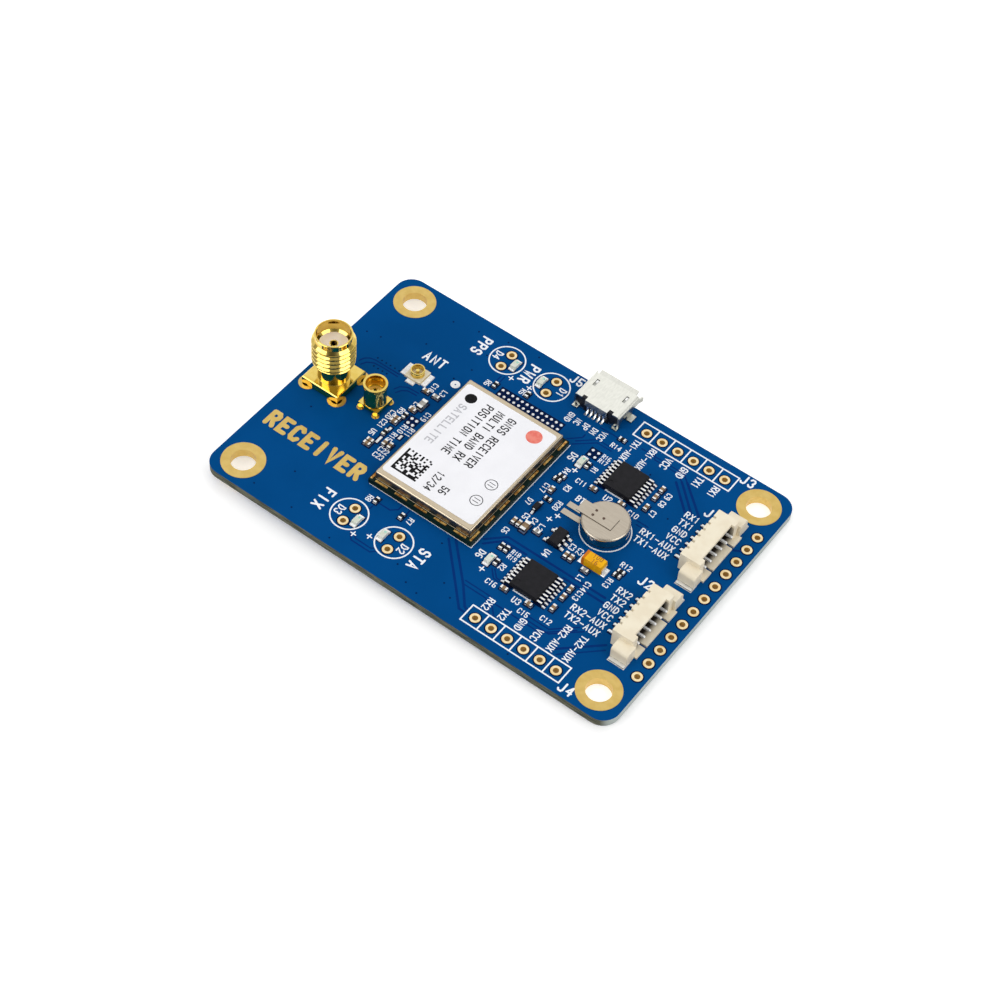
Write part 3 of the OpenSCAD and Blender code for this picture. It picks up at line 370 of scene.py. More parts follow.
@dataclass(frozen=True)
class BrushedFinish(Finish):
    """Sheet metal with fine rolling marks along one axis."""

    along: tuple[float, float, float] = (0.15, 3.0, 1.0)

    def tint(self, graph: Graph) -> Value:
        """Colour in faint streaks."""
        return graph.mix(graph.noise(0.35, 3.0, self.along).ease(0.3, 0.7), self.colour, self.second)

    def relief(self, graph: Graph) -> Value:
        """Streaks instead of grain."""
        return graph.noise(self.grain, 2.0, self.along)


@dataclass(frozen=True)
class ShadedWallFinish(Finish):
    """A finish whose upright walls are darker than its flat faces: painted shade in plated holes and on
    the sides of tinned leads.
    """

    # Painted shade on the upright faces.
    wall_shade: Colour = rgb(200, 146, 66)

    def tint(self, graph: Graph) -> Value:
        """Own colour on the flat faces and painted shade on the upright sides."""
        return graph.mix(graph.facing_up().ease(0.3, 0.7), self.wall_shade, Finish.tint(self, graph))


@dataclass(frozen=True)
class TopSideFinish(BrushedFinish):
    """Sheet with one look on its flat top and another on its sides; on the shield can and the USB shell
    the darker side colour is painted shade.
    """

    side: Colour = rgb(180, 170, 150)
    side_roughness: float = 0.1
    turn: tuple[float, float] = (0.35, 0.7)

    def tint(self, graph: Graph) -> Value:
        """Streaks where the surface faces up and the side's colour elsewhere."""
        return graph.mix(graph.facing_up().ease(*self.turn), self.side, BrushedFinish.tint(self, graph))

    def gloss(self, graph: Graph) -> Value:
        """The top's roughness where the surface faces up and the side's elsewhere."""
        flat = Finish.gloss(self, graph)
        return self.side_roughness + (flat - self.side_roughness) * graph.facing_up().ease(*self.turn)


@dataclass(frozen=True)
class CavityShadeFinish(Finish):
    """Moulded cream plastic with painted shade that darkens the mouths of the two side sockets."""

    # Painted shade: dark brown laid over the plastic deep inside each socket mouth.
    shade: Colour = rgb(34, 25, 18)
    mouth_x: tuple[float, float] = (29.4, 28.4)
    roof_z: float = 3.82
    middle_y: float = 0.4
    spacing: float = 15.24
    half_mouth: float = 3.53
    back_x: float = 26.8

    def tint(self, graph: Graph) -> Value:
        """Lets the painted shade grow with depth in either mouth.

        Args:
            graph: The graph that takes the nodes.

        Returns:
            The colour.
        """
        x, y, z = (graph.axis(graph.place(), name) for name in "XYZ")
        depth = x.ease(*self.mouth_x)
        beside = abs(abs(y - self.middle_y) - self.spacing / 2)
        shade_share = depth * (z < self.roof_z) * (beside < self.half_mouth) * (x > self.back_x)
        return graph.mix(shade_share, Finish.tint(self, graph), self.shade)


@dataclass(frozen=True)
class BandFinish(Finish):
    """A moulded body with a polarity band across one end."""

    band: Colour = (0.1, 0.05, 0.01)
    start: float = 0.0
    end: float = 1.0

    def tint(self, graph: Graph) -> Value:
        """Lays the band over the body's colour between two places along X.

        Args:
            graph: The graph that takes the nodes.

        Returns:
            The colour.
        """
        body = Finish.tint(self, graph)
        x = graph.axis(graph.place(), "X")
        return graph.mix((x > self.start) * (x < self.end), body, self.band)


@dataclass(frozen=True)
class ClearFinish(Finish):
    """Clear resin over a pale base, with a soft milky body."""

    clear: float = 0.6

    def shader(self, graph: Graph) -> bpy.types.NodeSocket:
        """Builds resin that lets part of the light through.

        Args:
            graph: The graph that takes the nodes.

        Returns:
            The shader's socket.
        """
        node = graph.node(
            "ShaderNodeBsdfPrincipled",
            {},
            {
                "Base Color": self.tint(graph),
                "Roughness": self.gloss(graph),
                "Transmission Weight": self.clear,
                "IOR": 1.5,
                "Normal": graph.bump(self.relief(graph), self.depth),
            },
        )
        return node.outputs["BSDF"]


SOLDER_MASK = MaskFinish(
    "blue_solder_mask", rgb(3, 74, 136), rgb(2, 71, 131), 0.3, drift=9.0, specular=0.01, depth=0.002,
    grain=0.5,
)
MASK_GAP = Finish("mask_over_gap", rgb(8, 46, 112), rgb(6, 52, 116), 0.35, drift=3.0, specular=0.01)
# Dark mask for vias and openings, also laid as painted shade round pads and as painted shadow under socket
# tails.
DARK_MASK_AND_SHADE = Finish("dark_mask_and_painted_shade", rgb(4, 22, 62), rgb(3, 28, 72), 0.4, drift=1.0, specular=0.02)
SILK_INK = Finish("white_ink", rgb(250, 251, 254), rgb(242, 245, 250), 0.6, drift=0.3, depth=0.01)
GOLD_LAND = Finish(
    "satin_gold_land", rgb(222, 192, 116), rgb(214, 182, 104), 0.4, metallic=1.0, drift=1.2,
)
# Painted shade: the hole walls are darker than the lands.
HEADER_LAND = ShadedWallFinish(
    "pale_gold_land", rgb(252, 230, 184), rgb(242, 212, 154), 0.4, metallic=0.3, drift=0.8,
    wall_shade=rgb(204, 162, 70),
)
GOLD_PLATE = Finish(
    "bright_gold_plate", rgb(232, 205, 114), rgb(226, 195, 98), 0.09, metallic=1.0, drift=1.0,
    gloss_swing=0.05, depth=0.001,
)
WHITE_INSULATOR = Finish("white_insulator", rgb(254, 246, 236), rgb(250, 237, 226), 0.45)
# Painted reflection: the white insulator is tinted gold as if it mirrored the gold walls round it.
INSULATOR_GOLD_REFLECTION = Finish("insulator_painted_gold_reflection", rgb(252, 214, 130), rgb(244, 196, 104), 0.4)
CREAM_BASE = Finish("cream_socket_base", rgb(238, 230, 206), rgb(230, 220, 194), 0.5)
SOLDER = Finish(
    "solder", rgb(252, 252, 252), rgb(230, 232, 236), 0.25, metallic=0.15, drift=0.25, gloss_swing=0.2,
    depth=0.02, grain=0.3,
)
CARRIER_GREEN = MaskFinish(
    "dark_green_laminate", rgb(14, 36, 30), rgb(10, 28, 24), 0.4, specular=0.1,
    laminate=rgb(18, 44, 36), streak=rgb(10, 26, 22), painted_light_edge=rgb(16, 40, 33),
)
# Painted highlights and shade: bright gold drifts into dark brown over the module's strips.
STRIP_GOLD = Finish(
    "gold_strip_painted_glints_and_shade", rgb(246, 204, 120), rgb(156, 96, 34), 0.3, metallic=0.7, drift=0.5,
)
# Painted shade: the can's sides take a darker grey than its top.
SHIELD_SHEET = TopSideFinish(
    "shield_sheet", rgb(206, 192, 168), rgb(196, 180, 154), 0.24, metallic=1.0, depth=0.001,
    side=rgb(128, 123, 113), side_roughness=0.4,
)
LABEL_PAPER = Finish(
    "label_paper", rgb(248, 248, 252), rgb(244, 244, 248), 0.55, drift=4.0, depth=0.003,
)
PRINT_BLACK = Finish("black_print", rgb(14, 14, 16), rgb(26, 26, 28), 0.6, drift=0.4, specular=0.1)
PRINT_GREY = Finish("grey_print", rgb(200, 200, 204), rgb(186, 186, 192), 0.6, drift=0.5)
PRINT_RED = Finish("red_print", rgb(232, 112, 98), rgb(240, 138, 122), 0.6, drift=0.7)
CHIP_BLACK = Finish(
    "black_moulding", rgb(26, 25, 30), rgb(20, 20, 24), 0.55, drift=0.8, grain=0.06, depth=0.006,
    specular=0.2,
)
LID_METAL = Finish("plated_lid", rgb(190, 184, 168), rgb(178, 170, 150), 0.3, metallic=1.0)
# Painted shade: the shell's sides take a darker grey than its top.
STEEL_SHELL = TopSideFinish(
    "tinned_steel_shell_painted_side_shade", rgb(240, 240, 231), rgb(230, 230, 221), 0.34, metallic=1.0,
    along=(1.6, 0.5, 1.0), depth=0.001, side=rgb(166, 167, 160), side_roughness=0.3,
)
# Painted shade: a darker copy of the shell's steel for the springs in its windows.
SHADED_STEEL = Finish(
    "steel_painted_shade", rgb(196, 197, 190), rgb(176, 177, 171), 0.4, metallic=0.3, drift=0.4,
)
BLACK_PLASTIC = Finish("black_plastic", rgb(20, 21, 25), rgb(28, 29, 34), 0.4, specular=0.3)
# Cream socket plastic with painted shade in the socket mouths.
CREAM_PLASTIC = CavityShadeFinish(
    "cream_plastic", rgb(244, 234, 210), rgb(238, 226, 200), 0.42, drift=2.0, depth=0.002,
)
TINNED = Finish(
    "tinned_metal", rgb(250, 250, 248), rgb(230, 230, 228), 0.22, metallic=0.85, drift=0.4,
    gloss_swing=0.15,
)
CELL_TOP = TopSideFinish(
    "cell_steel", rgb(196, 186, 170), rgb(188, 177, 161), 0.36, metallic=1.0, depth=0.001,
    side=rgb(206, 196, 180), side_roughness=0.1,
)
# Painted shade: the upright sides of the leads, tabs and pads are nearly black.
LEAD = ShadedWallFinish(
    "tinned_lead", rgb(252, 252, 250), rgb(234, 234, 232), 0.25, metallic=0.4, drift=0.4,
    wall_shade=rgb(52, 54, 60),
)
PIN = Finish("bright_pin", rgb(252, 252, 250), rgb(240, 240, 238), 0.25, metallic=0.1, drift=0.4)
# Painted shadow: the dark line along the foot of the cell's upper tab.
TAB_SHADOW = Finish("painted_tab_shadow", rgb(92, 84, 74), rgb(74, 68, 60), 0.5, drift=0.4)
TANTALUM = BandFinish(
    "tantalum_resin", rgb(244, 182, 12), rgb(234, 166, 8), 0.4, band=rgb(208, 116, 14), start=15.8,
    end=16.3, specular=0.15,
)
CERAMIC_TAN = Finish("tan_ceramic", rgb(150, 124, 92), rgb(126, 100, 72), 0.5, drift=0.6)
FERRITE = Finish("grey_ferrite", rgb(176, 172, 166), rgb(120, 116, 112), 0.5, drift=0.6)
LAMP_BASE = Finish("lamp_base", rgb(246, 248, 240), rgb(234, 238, 228), 0.4)
LAMP_LENS = ClearFinish("lamp_lens", rgb(250, 252, 242), rgb(236, 244, 226), 0.2, drift=0.6, clear=0.25)
LAMP_SPOT = Finish("lamp_spot", rgb(120, 196, 176), rgb(176, 222, 206), 0.3, drift=0.25)
PRINT_BROWN = Finish("brown_print", rgb(150, 92, 20), rgb(166, 104, 24), 0.6, drift=0.3)
FLUX_BROWN = Finish("weld_mark", rgb(98, 74, 60), rgb(74, 56, 48), 0.5, drift=0.2)


def dress(node: str, finish: Finish) -> None:
    """Gives a CAD node its material.

    Args:
        node: Name of the CAD node.
        finish: The finish it gets.
    """
    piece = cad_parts[node]
    piece.data.materials.clear()
    piece.data.materials.append(finish.material())
    LOG.info("dressed %s in %s", node, finish.name)


def soften(node: str, width: float) -> None:
    """Rounds the edges of a CAD node with modifiers, which leave its mesh as it is.

    Args:
        node: Name of the CAD node.
        width: Width of the rounding in millimetres.
    """
    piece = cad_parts[node]
    weld = piece.modifiers.new("weld", "WELD")
    weld.merge_threshold = 0.001 * MM
    bevel = piece.modifiers.new("round_edges", "BEVEL")
    bevel.width = width * MM
    bevel.segments = 2
    bevel.limit_method = "ANGLE"
    bevel.angle_limit = math.radians(40)
    bevel.use_clamp_overlap = True


def box_of(node: str) -> Corners:
    """Gives the lowest and highest corner of a CAD node in millimetres."""
    low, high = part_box(node)
    return low / MM, high / MM


def solids(node: str) -> list[Corners]:
    """Finds the box of each separate solid of a CAD node.

    Args:
        node: Name of the CAD node.

    Returns:
        Lowest and highest corner of each solid in millimetres.
    """
    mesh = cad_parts[node].data
    corner_of: dict[tuple[float, ...], int] = {}
    place = [corner_of.setdefault(tuple(round(c, 7) for c in v.co), len(corner_of)) for v in mesh.vertices]
    leader = list(range(len(corner_of)))

    def find(index: int) -> int:
        """Follows a corner to the leader of its group.

        Args:
            index: The corner.

        Returns:
            The leader.
        """
        while leader[index] != index:
            leader[index] = leader[leader[index]]
            index = leader[index]
        return index

    for face in mesh.polygons:
        first = find(place[face.vertices[0]])
        for other in face.vertices[1:]:
            leader[find(place[other])] = first
    groups: dict[int, list[Vector]] = {}
    for corner, index in corner_of.items():
        groups.setdefault(find(index), []).append(Vector(corner) / MM)
    return [
        (Vector(map(min, zip(*points))), Vector(map(max, zip(*points)))) for points in groups.values()
    ]


class Shape:
    """Gathers points in millimetres and faces, and then becomes a piece of the object."""

    def __init__(self) -> None:
        """Starts empty."""
        self.points: list[Place] = []
        self.faces: list[tuple[int, ...]] = []
        self.strokes = 0

    def add(self, points: Iterable[Sequence[float]], faces: Iterable[Sequence[int]]) -> None:
        """Adds points and the faces between them.

        Args:
            points: Places in millimetres.
            faces: Faces as numbers of those points.
        """
        start = len(self.points)
        self.points.extend(tuple(point) for point in points)
        self.faces.extend(tuple(start + corner for corner in face) for face in faces)

    def prism(self, outline: Sequence[Spot], low: float, high: float) -> None:
        """Adds an upright prism over a convex outline.

        Args:
            outline: Its corners in order.
            low: Height of its base.
            high: Height of its top.
        """
        count = len(outline)
        walls = [(i, (i + 1) % count, count + (i + 1) % count, count + i) for i in range(count)]
        ends = [tuple(reversed(range(count))), tuple(range(count, 2 * count))]
        self.add([(x, y, z) for z in (low, high) for x, y in outline], walls + ends)

    def block(self, low: Sequence[float], high: Sequence[float]) -> None:
        """Adds a box between two corners."""
        outline = [(low[0], low[1]), (high[0], low[1]), (high[0], high[1]), (low[0], high[1])]
        self.prism(outline, low[2], high[2])

    def mound(self, low: Sequence[float], high: Sequence[float], inset: float) -> None:
        """Adds a box whose top is drawn in on all sides, as solder on a pad.

        Args:
            low: Lowest corner.
            high: Highest corner.
            inset: How far the top is drawn in.
        """
        rows = [(0.0, low[2]), (inset * 0.4, low[2] + (high[2] - low[2]) * 0.7), (inset, high[2])]
        points = [
            (x, y, z)
            for step, z in rows
            for x, y in (
                (low[0] + step, low[1] + step),
                (high[0] - step, low[1] + step),
                (high[0] - step, high[1] - step),
                (low[0] + step, high[1] - step),
            )
        ]
        walls = [
            (row + i, row + (i + 1) % 4, row + 4 + (i + 1) % 4, row + 4 + i)
            for row in (0, 4)
            for i in range(4)
        ]
        self.add(points, walls + [(3, 2, 1, 0), (8, 9, 10, 11)])

    def disc(self, centre: Spot, radius: float, low: float, high: float, sides: int = 20) -> None:
        """Adds a flat round disc.

        Args:
            centre: Its middle.
            radius: Its radius.
            low: Height of its base.
            high: Height of its top.
            sides: Steps round it.
        """
        turns = [math.tau * i / sides for i in range(sides)]
        outline = [(centre[0] + radius * math.cos(t), centre[1] + radius * math.sin(t)) for t in turns]
        self.prism(outline, low, high)

    def ring(
        self, centre: Spot, outer: float, inner: float, low: float, high: float, sides: int = 64
    ) -> None:
        """Adds a flat ring.

        Args:
            centre: Its middle.
            outer: Outer radius.
            inner: Inner radius.
            low: Height of its base.
            high: Height of its top.
            sides: Steps round it.
        """
        rows = [(outer, low), (outer, high), (inner, high), (inner, low)]
        self.spin(centre, [lambda turn, row=row: row for row in rows], sides)

    def dome(self, centre: Spot, radius: float, low: float, high: float) -> None:
        """Adds a round bump of solder.

        Args:
            centre: Its middle.
            radius: Its radius at the base.
            low: Height of its base.
            high: Height of its top.
        """
        section = [(0.0, 0.02), (0.0, 1.0), (0.5, 0.93), (0.82, 0.72), (0.96, 0.42), (1.0, 0.02)]
        rows = [(radius * share, low + (high - low) * rise) for rise, share in section]
        self.spin(centre, [lambda turn, row=row: row for row in rows], 14)

    def spin(self, centre: Spot, rows: Sequence[Callable[[float], Spot]], sides: int) -> None:
        """Turns a closed section about an upright axis.

        Args:
            centre: Place of the axis.
            rows: For each point of the section, a function from the turn to radius and height.
            sides: Steps round the axis.
        """
        points = []
        for row in rows:
            for step in range(sides):
                turn = math.tau * step / sides
                radius, height = row(turn)
                x = centre[0] + radius * math.cos(turn)
                y = centre[1] + radius * math.sin(turn)
                points.append((x, y, height))
        faces = []
        for i in range(len(rows)):
            here, there = i * sides, (i + 1) % len(rows) * sides
            for step in range(sides):
                after = (step + 1) % sides
                faces.append((here + step, here + after, there + after, there + step))
        self.add(points, faces)

    def stroke(self, path: Sequence[Spot], width: float, low: float, high: float) -> None:
        """Adds a flat line of even width, with round ends unless it closes on itself.

        Args:
            path: The points of its middle.
            width: Its width.
            low: Height of its base.
            high: Height of its top.
        """
        self.strokes += 1
        high += STROKE_STEP * (self.strokes % STROKE_LEVELS)
        closed = path[0] == path[-1]
        spots = [Vector(spot) for spot in (path[:-1] if closed else path)]
        count = len(spots)
        half = width / 2
        left, right = [], []
        for i, spot in enumerate(spots):
            before = spots[i - 1] if closed or i > 0 else None
            after = spots[(i + 1) % count] if closed or i < count - 1 else None
            ahead = (after - spot if after else spot - before).normalized()
            behind = (spot - before if before else ahead).normalized()
            mean = (ahead + behind).normalized()
            side = Vector((-mean.y, mean.x))
            reach = half / max(0.6, side.dot(Vector((-ahead.y, ahead.x))))
            left.append(spot + side * reach)
            right.append(spot - side * reach)
        points = [(p.x, p.y, z) for z in (low, high) for rail in (left, right) for p in rail]
        under_left, under_right, over_left, over_right = (count * i for i in range(4))
        faces = []
        for i in range(count if closed else count - 1):
            j = (i + 1) % count
            faces.append((over_left + i, over_right + i, over_right + j, over_left + j))
            faces.append((under_left + j, under_right + j, under_right + i, under_left + i))
            faces.append((under_left + i, over_left + i, over_left + j, under_left + j))
            faces.append((under_right + j, over_right + j, over_right + i, under_right + i))
        if not closed:
            for end, inner in ((0, 1), (count - 1, count - 2)):
                outward = (spots[end] - spots[inner]).normalized()
                across = left[end] - spots[end]
                bends = [math.pi * k / 5 for k in range(1, 5)]
                arc = [spots[end] + across * math.cos(b) + outward * half * math.sin(b) for b in bends]
                first = len(points)
                points.extend((p.x, p.y, low) for p in arc)
                points.extend((p.x, p.y, high) for p in arc)
                under = [under_left + end, *range(first, first + 4), under_right + end]
                over = [over_left + end, *range(first + 4, first + 8), over_right + end]
                faces.append(tuple(under))
                faces.append(tuple(reversed(over)))
                for k in range(5):
                    faces.append((under[k], under[k + 1], over[k + 1], over[k]))
        self.add(points, faces)

    def piece(self, name: str, finish: Finish, slot: str, smooth: float = 0.0) -> bpy.types.Object:
        """Makes the piece, which rides on the board.

        Args:
            name: Name of the piece.
            finish: Its finish.
            slot: Name of a material slot of the record; not used.
            smooth: Angle in degrees up to which edges are shaded smooth.

        Returns:
            The new object.
        """
        mesh = bpy.data.meshes.new(name)
        mesh.from_pydata([Vector(point) * MM for point in self.points], [], self.faces)
        work = bmesh.new()
        work.from_mesh(mesh)
        bmesh.ops.recalc_face_normals(work, faces=work.faces)
        work.to_mesh(mesh)
        work.free()
        if smooth:
            mesh.shade_smooth()
            mesh.set_sharp_from_angle(angle=math.radians(smooth))
        mesh.materials.append(finish.material())
        made = bpy.data.objects.new(name, mesh)
        bpy.context.scene.collection.objects.link(made)
        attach(made, BODY)
        LOG.info("made %s with %d faces", name, len(mesh.polygons))
        return made


class Reading(Enum):
    """The way a line of print runs on the board."""

    RIGHT = 0
    DOWN = 1


class Align(Enum):
    """Which part of a line of print lies on its place."""

    START = 0.0
    MIDDLE = 0.5
    END = 1.0


# Each letter is one or more strokes on a grid 4 wide and 6 high.
# A point is two digits, and a space parts two strokes.
LETTERS = {
    "A": "002640 1232", "B": "0006 063645443303 3342413000", "C": "4536160501103041",
    "D": "00062644422000", "E": "46060040 0333", "F": "460600 0333", "G": "45361605011030414323",
    "H": "0006 4046 0343", "I": "2026", "J": "4641301001", "K": "0006 460340", "L": "060040",
    "M": "0006234640", "N": "00064046", "O": "160501103041453616", "P": "0006 063645443303",
    "Q": "160501103041453616 2240", "R": "0006 063645443303 2340", "S": "453616050413334241301001",
    "T": "0646 2026", "U": "060110304146", "V": "062046", "W": "0610233046", "X": "0046 0640",
    "Y": "062346 2320", "Z": "06460040", "0": "160501103041453616", "1": "152620",
    "2": "05163645440040", "3": "0516364544334241301001", "4": "3036 360242", "5": "460603334241301001",
    "6": "361605011030414233 3303", "7": "064620", "8": "130405163645443313 1302011030414233",
    "9": "103041453616050413 1343", "-": "0343", "+": "0343 2125", "/": "0046", " ": "",
}
GRID_W = 4
GRID_H = 6


@dataclass(frozen=True)
class Line:
    """One line of generic print."""

    words: str
    x: float
    y: float
    height: float = 1.0
    reading: Reading = Reading.RIGHT
    align: Align = Align.MIDDLE
    weight: float = 0.15
    width: float = 0.56
    advance: float = 0.74

    def draw(self, shape: Shape, low: float, high: float) -> None:
        """Adds the line's strokes to a shape.

        Args:
            shape: The shape that takes the strokes.
            low: Height of the print's base.
            high: Height of the print's top.
        """
        pen = self.height * self.weight
        step = self.height * self.advance
        wide = self.height * self.width
        length = step * (len(self.words) - 1) + wide
        start = -length * self.align.value
        rise = self.height - pen
        for index, letter in enumerate(self.words):
            for stroke in LETTERS[letter].split():
                path = []
                for i in range(0, len(stroke), 2):
                    along = start + index * step + int(stroke[i]) / GRID_W * (wide - pen) + pen / 2
                    across = int(stroke[i + 1]) / GRID_H * rise - rise / 2
                    if self.reading is Reading.RIGHT:
                        path.append((self.x + along, self.y + across))
                    else:
                        path.append((self.x + across, self.y - along))
                shape.stroke(path, pen, low, high)


def down(words: str, x: float, y: float, height: float = 1.0, **more: object) -> Line:
    """A line of print that runs towards the board's front edge."""
    return Line(words, x, y, height, Reading.DOWN, **more)


@dataclass
class CircuitBoard:
    """The board with its mask, dark openings round the lands, painted shade round the pads and under the
    socket tails, tracks, vias and printed ink.
    """

    top: float = 1.2
    ink_t: float = 0.02
    track_t: float = 0.006
    pen: float = 0.2
    header_pitch: float = 2.54
    hollow: float = 0.19
    land_r: float = 0.725
    header_nodes: tuple[str, ...] = (
        "upper_header_lands", "lower_header_lands", "edge_row_lands", "indicator_pair_lands",
    )
    pad_nodes: tuple[str, ...] = (
        "bare_pad_solder", "resistor_caps", "capacitor_caps", "inductor_caps", "upper_shifter_leads",
        "lower_shifter_leads", "regulator_leads", "diode_leads", "lamp_terminals",
    )
    pad_margin: float = 0.22
    pair_ring_r: float = 2.65
    pair_rings: tuple[Spot, ...] = ((-12.35, 18.05), (-4.7, 18.0), (-12.45, -16.6), (-5.0, -16.6))
    plus_marks: tuple[Spot, ...] = (
        (-10.0, 15.75), (-7.0, 15.9), (-10.0, -18.8), (-8.1, -17.8), (6.3, 8.1),
        (6.4, -12.75), (8.45, -0.7),
        (9.0, 0.4),
    )
    plus_reach: float = 0.38
    plus_pen: float = 0.17
    header_frames: tuple[tuple[float, float, float, float], ...] = (
        (8.8, 18.2, 24.3, 21.0),
        (9.0, -20.8, 24.4, -18.0),
    )
    header_count: int = 6
    module_corner: tuple[Spot, ...] = ((3.3, 11.2), (3.3, -10.95), (-13.6, -10.95))
    corner_pen: float = 0.12
    target: Spot = (-15.25, 9.95)
    target_r: tuple[float, float] = (0.68, 0.12)
    cell_ring: Spot = (15.3, 2.42)
    cell_ring_r: tuple[float, float] = (3.55, 3.38)
    chip_brackets: tuple[Spot, ...] = ((11.45, 7.97), (11.6, -12.93))
    bracket_w: float = 2.62
    bracket_d: float = 0.42
    level_marks: tuple[Mark, ...] = (
        ("R14", 8.28, 14.9), ("C11", 8.18, 6.92), ("C10", 16.6, 6.87), ("R12", 20.8, -0.7),
        ("C16", 8.67, -13.8), ("C15", 14.67, -15.0), ("C12", 17.6, -14.1), ("C22", -15.6, -5.45),
        ("C23", -15.6, -6.6),
    )
    turned_marks: tuple[Mark, ...] = (
        ("R5", -7.3, 14.75), ("R6", -12.0, 13.0), ("R8", -12.03, -12.9), ("R7", -5.5, -12.6),
        ("C18", -17.2, 7.55), ("L3", -15.5, 7.57), ("L4", -17.2, 3.5), ("C19", -14.8, 2.75),
        ("R9", -18.1, 1.53), ("C20", -18.8, 0.1), ("C21", -18.7, -1.85), ("U5", -18.8, -3.8),
        ("R10", -15.95, -0.87), ("R15", -16.2, -2.87), ("R11", -14.85, -0.8), ("R1", 8.3, 9.7),
        ("R4", 5.5, 7.25), ("C9", 18.6, 12.3), ("C8", 18.65, 10.75), ("C7", 18.55, 8.6),
        ("R3", 7.3, 4.95), ("C17", 4.9, 3.15), ("R20", 8.0, 1.75), ("D7", 4.6, 0.0), ("C5", 5.8, -2.3),
        ("C4", 7.1, -2.3), ("L2", 8.4, -2.55), ("C6", 5.05, -5.85), ("C3", 13.5, -2.55),
        ("C2", 14.7, -2.55), ("L1", 17.1, -6.05), ("R13", 20.4, -4.35), ("C14", 18.55, -6.65),
        ("C13", 18.55, -8.45), ("R2", 8.3, -10.9),
    )
    tail_past: float = 0.1
    tail_side: float = 0.28
    via_r: float = 0.13
    via_step: float = 0.75
    via_rows: tuple[tuple[float, float, int], ...] = ((-26.5, 7.0, 6), (-26.0, 5.5, 4))
    lone_vias: tuple[Spot, ...] = (
        (-22.5, -15.6), (-19.0, -20.5), (-12.0, -21.25), (-25.4, -20.5), (-0.1, -12.75), (-2.5, -19.0),
        (0.1, -20.6), (-28.0, -5.6), (-30.75, 9.9), (-28.6, 10.3), (-22.5, 19.0), (-15.1, 13.5),
        (-16.1, 10.7), (-18.6, 19.8), (-15.1, 17.0), (-14.2, 20.8), (-9.25, 21.3), (-22.9, 13.3),
        (4.0, -17.6), (6.0, -19.0), (16.9, -21.3), (2.2, -21.1), (26.2, 4.4), (20.6, 9.2), (21.0, 3.4),
        (14.6, 13.9), (22.6, 16.3), (20.4, -10.9), (27.3, 0.2),
    )

    def build(self) -> None:
        """Makes the ink, the gold word, the mask openings and painted shade, the tracks and the vias."""
        dress("circuit_board", SOLDER_MASK)
        for node in ("mounting_hole_lands", "jack_leg_lands"):
            dress(node, GOLD_LAND)
        for node in self.header_nodes:
            dress(node, HEADER_LAND)
        self.print_ink()
        self.print_gold()
        self.cut_openings_and_shade()
        self.lay_tracks()
        self.drill_vias()

    def print_ink(self) -> None:
        """Makes the white ink: frames, rings, marks and words."""
        ink = Shape()
        high = self.top + self.ink_t
        for centre in self.pair_rings:
            ink.ring(centre, self.pair_ring_r, self.pair_ring_r - self.pen, self.top, high)
        for left, low, right, top in self.header_frames:
            outline = [(left, low), (right, low), (right, top), (left, top), (left, low)]
            ink.stroke(outline, self.pen, self.top, high)
            for cell in range(1, self.header_count):
                x = left + (right - left) * cell / self.header_count
                ink.stroke([(x, low), (x, top)], self.pen, self.top, high)
        for x, y in self.plus_marks:
            for reach_x, reach_y in ((self.plus_reach, 0.0), (0.0, self.plus_reach)):
                bar = [(x - reach_x, y - reach_y), (x + reach_x, y + reach_y)]
                ink.stroke(bar, self.plus_pen, self.top, high)
        ink.stroke(self.module_corner, self.corner_pen, self.top, high)
        ink.ring(self.target, *self.target_r, self.top, high, 32)
        ink.ring(self.cell_ring, *self.cell_ring_r, self.top, high, 96)
        for left, y in self.chip_brackets:
            right, end = left + self.bracket_w, y + self.bracket_d
            ink.stroke([(left, end), (left, y), (right, y), (right, end)], self.pen, self.top, high)
        for line in self.words():
            line.draw(ink, self.top, high)
        ink.piece("printed_ink", SILK_INK, "solder_mask")

    def words(self) -> list[Line]:
        """Lists the words of function and the part numbers of the board.

        Returns:
            The lines of print.
        """
        bold = {"weight": 0.165}
        tight = {"advance": 0.65}
        small = {"height": 0.88, "advance": 0.64}
        lines = [
            Line("ANT", -20.1, 11.72, 1.75, advance=0.73, **bold),
            down("PPS", -16.75, 17.95, 1.8, advance=0.68, **bold),
            down("PWR", -8.5, 17.95, 1.75, **bold),
            down("FIX", -16.7, -16.7, 1.75, **bold),
            down("STA", -0.85, -16.7, 1.75, **bold),
            Line("J5", -2.65, 21.2, 1.55, **bold), Line("J3", 25.5, 21.25, 1.6, **bold),
            Line("J4", 25.7, -20.95, 1.6, **bold), Line("J1", 24.85, 13.5, 1.6, **bold),
            Line("J2", 24.25, -1.2, 1.6, **bold),
            down("D4", -13.95, 18.0, 1.2, **tight), down("D1", -3.1, 18.0, 1.2, **tight),
            down("D3", -13.9, -16.8, 1.2, **tight), down("D2", -3.5, -16.75, 1.2, **tight),
            Line("BT", 9.8, 4.5, 1.05, **tight), Line("U2", 12.5, 6.9, 1.0, **tight),
            Line("U3", 12.87, -14.05, 1.0, **tight), down("U4", 11.4, -5.5, 1.0, **tight),
        ]
        for words, top, pitch in (
            (("RX1", "TX1", "GND", "VCC", "RX1-AUX", "TX1-AUX"), 11.4, 1.5),
            (("RX2", "TX2", "GND", "VCC", "RX2-AUX", "TX2-AUX"), -4.32, 1.47),
        ):
            for row, word in enumerate(words):
                lines.append(Line(word, 24.12, top - pitch * row, 1.1, align=Align.END, advance=0.7))
        upper = ("TX1-AUX", "RX1-AUX", "VCC", "GND", "TX1", "RX1")
        lower = ("RX2", "TX2", "GND", "VCC", "RX2-AUX", "TX2-AUX")
        for i in range(self.header_count):
            step = i * self.header_pitch
            size = 1.0 if i < 2 else 1.12
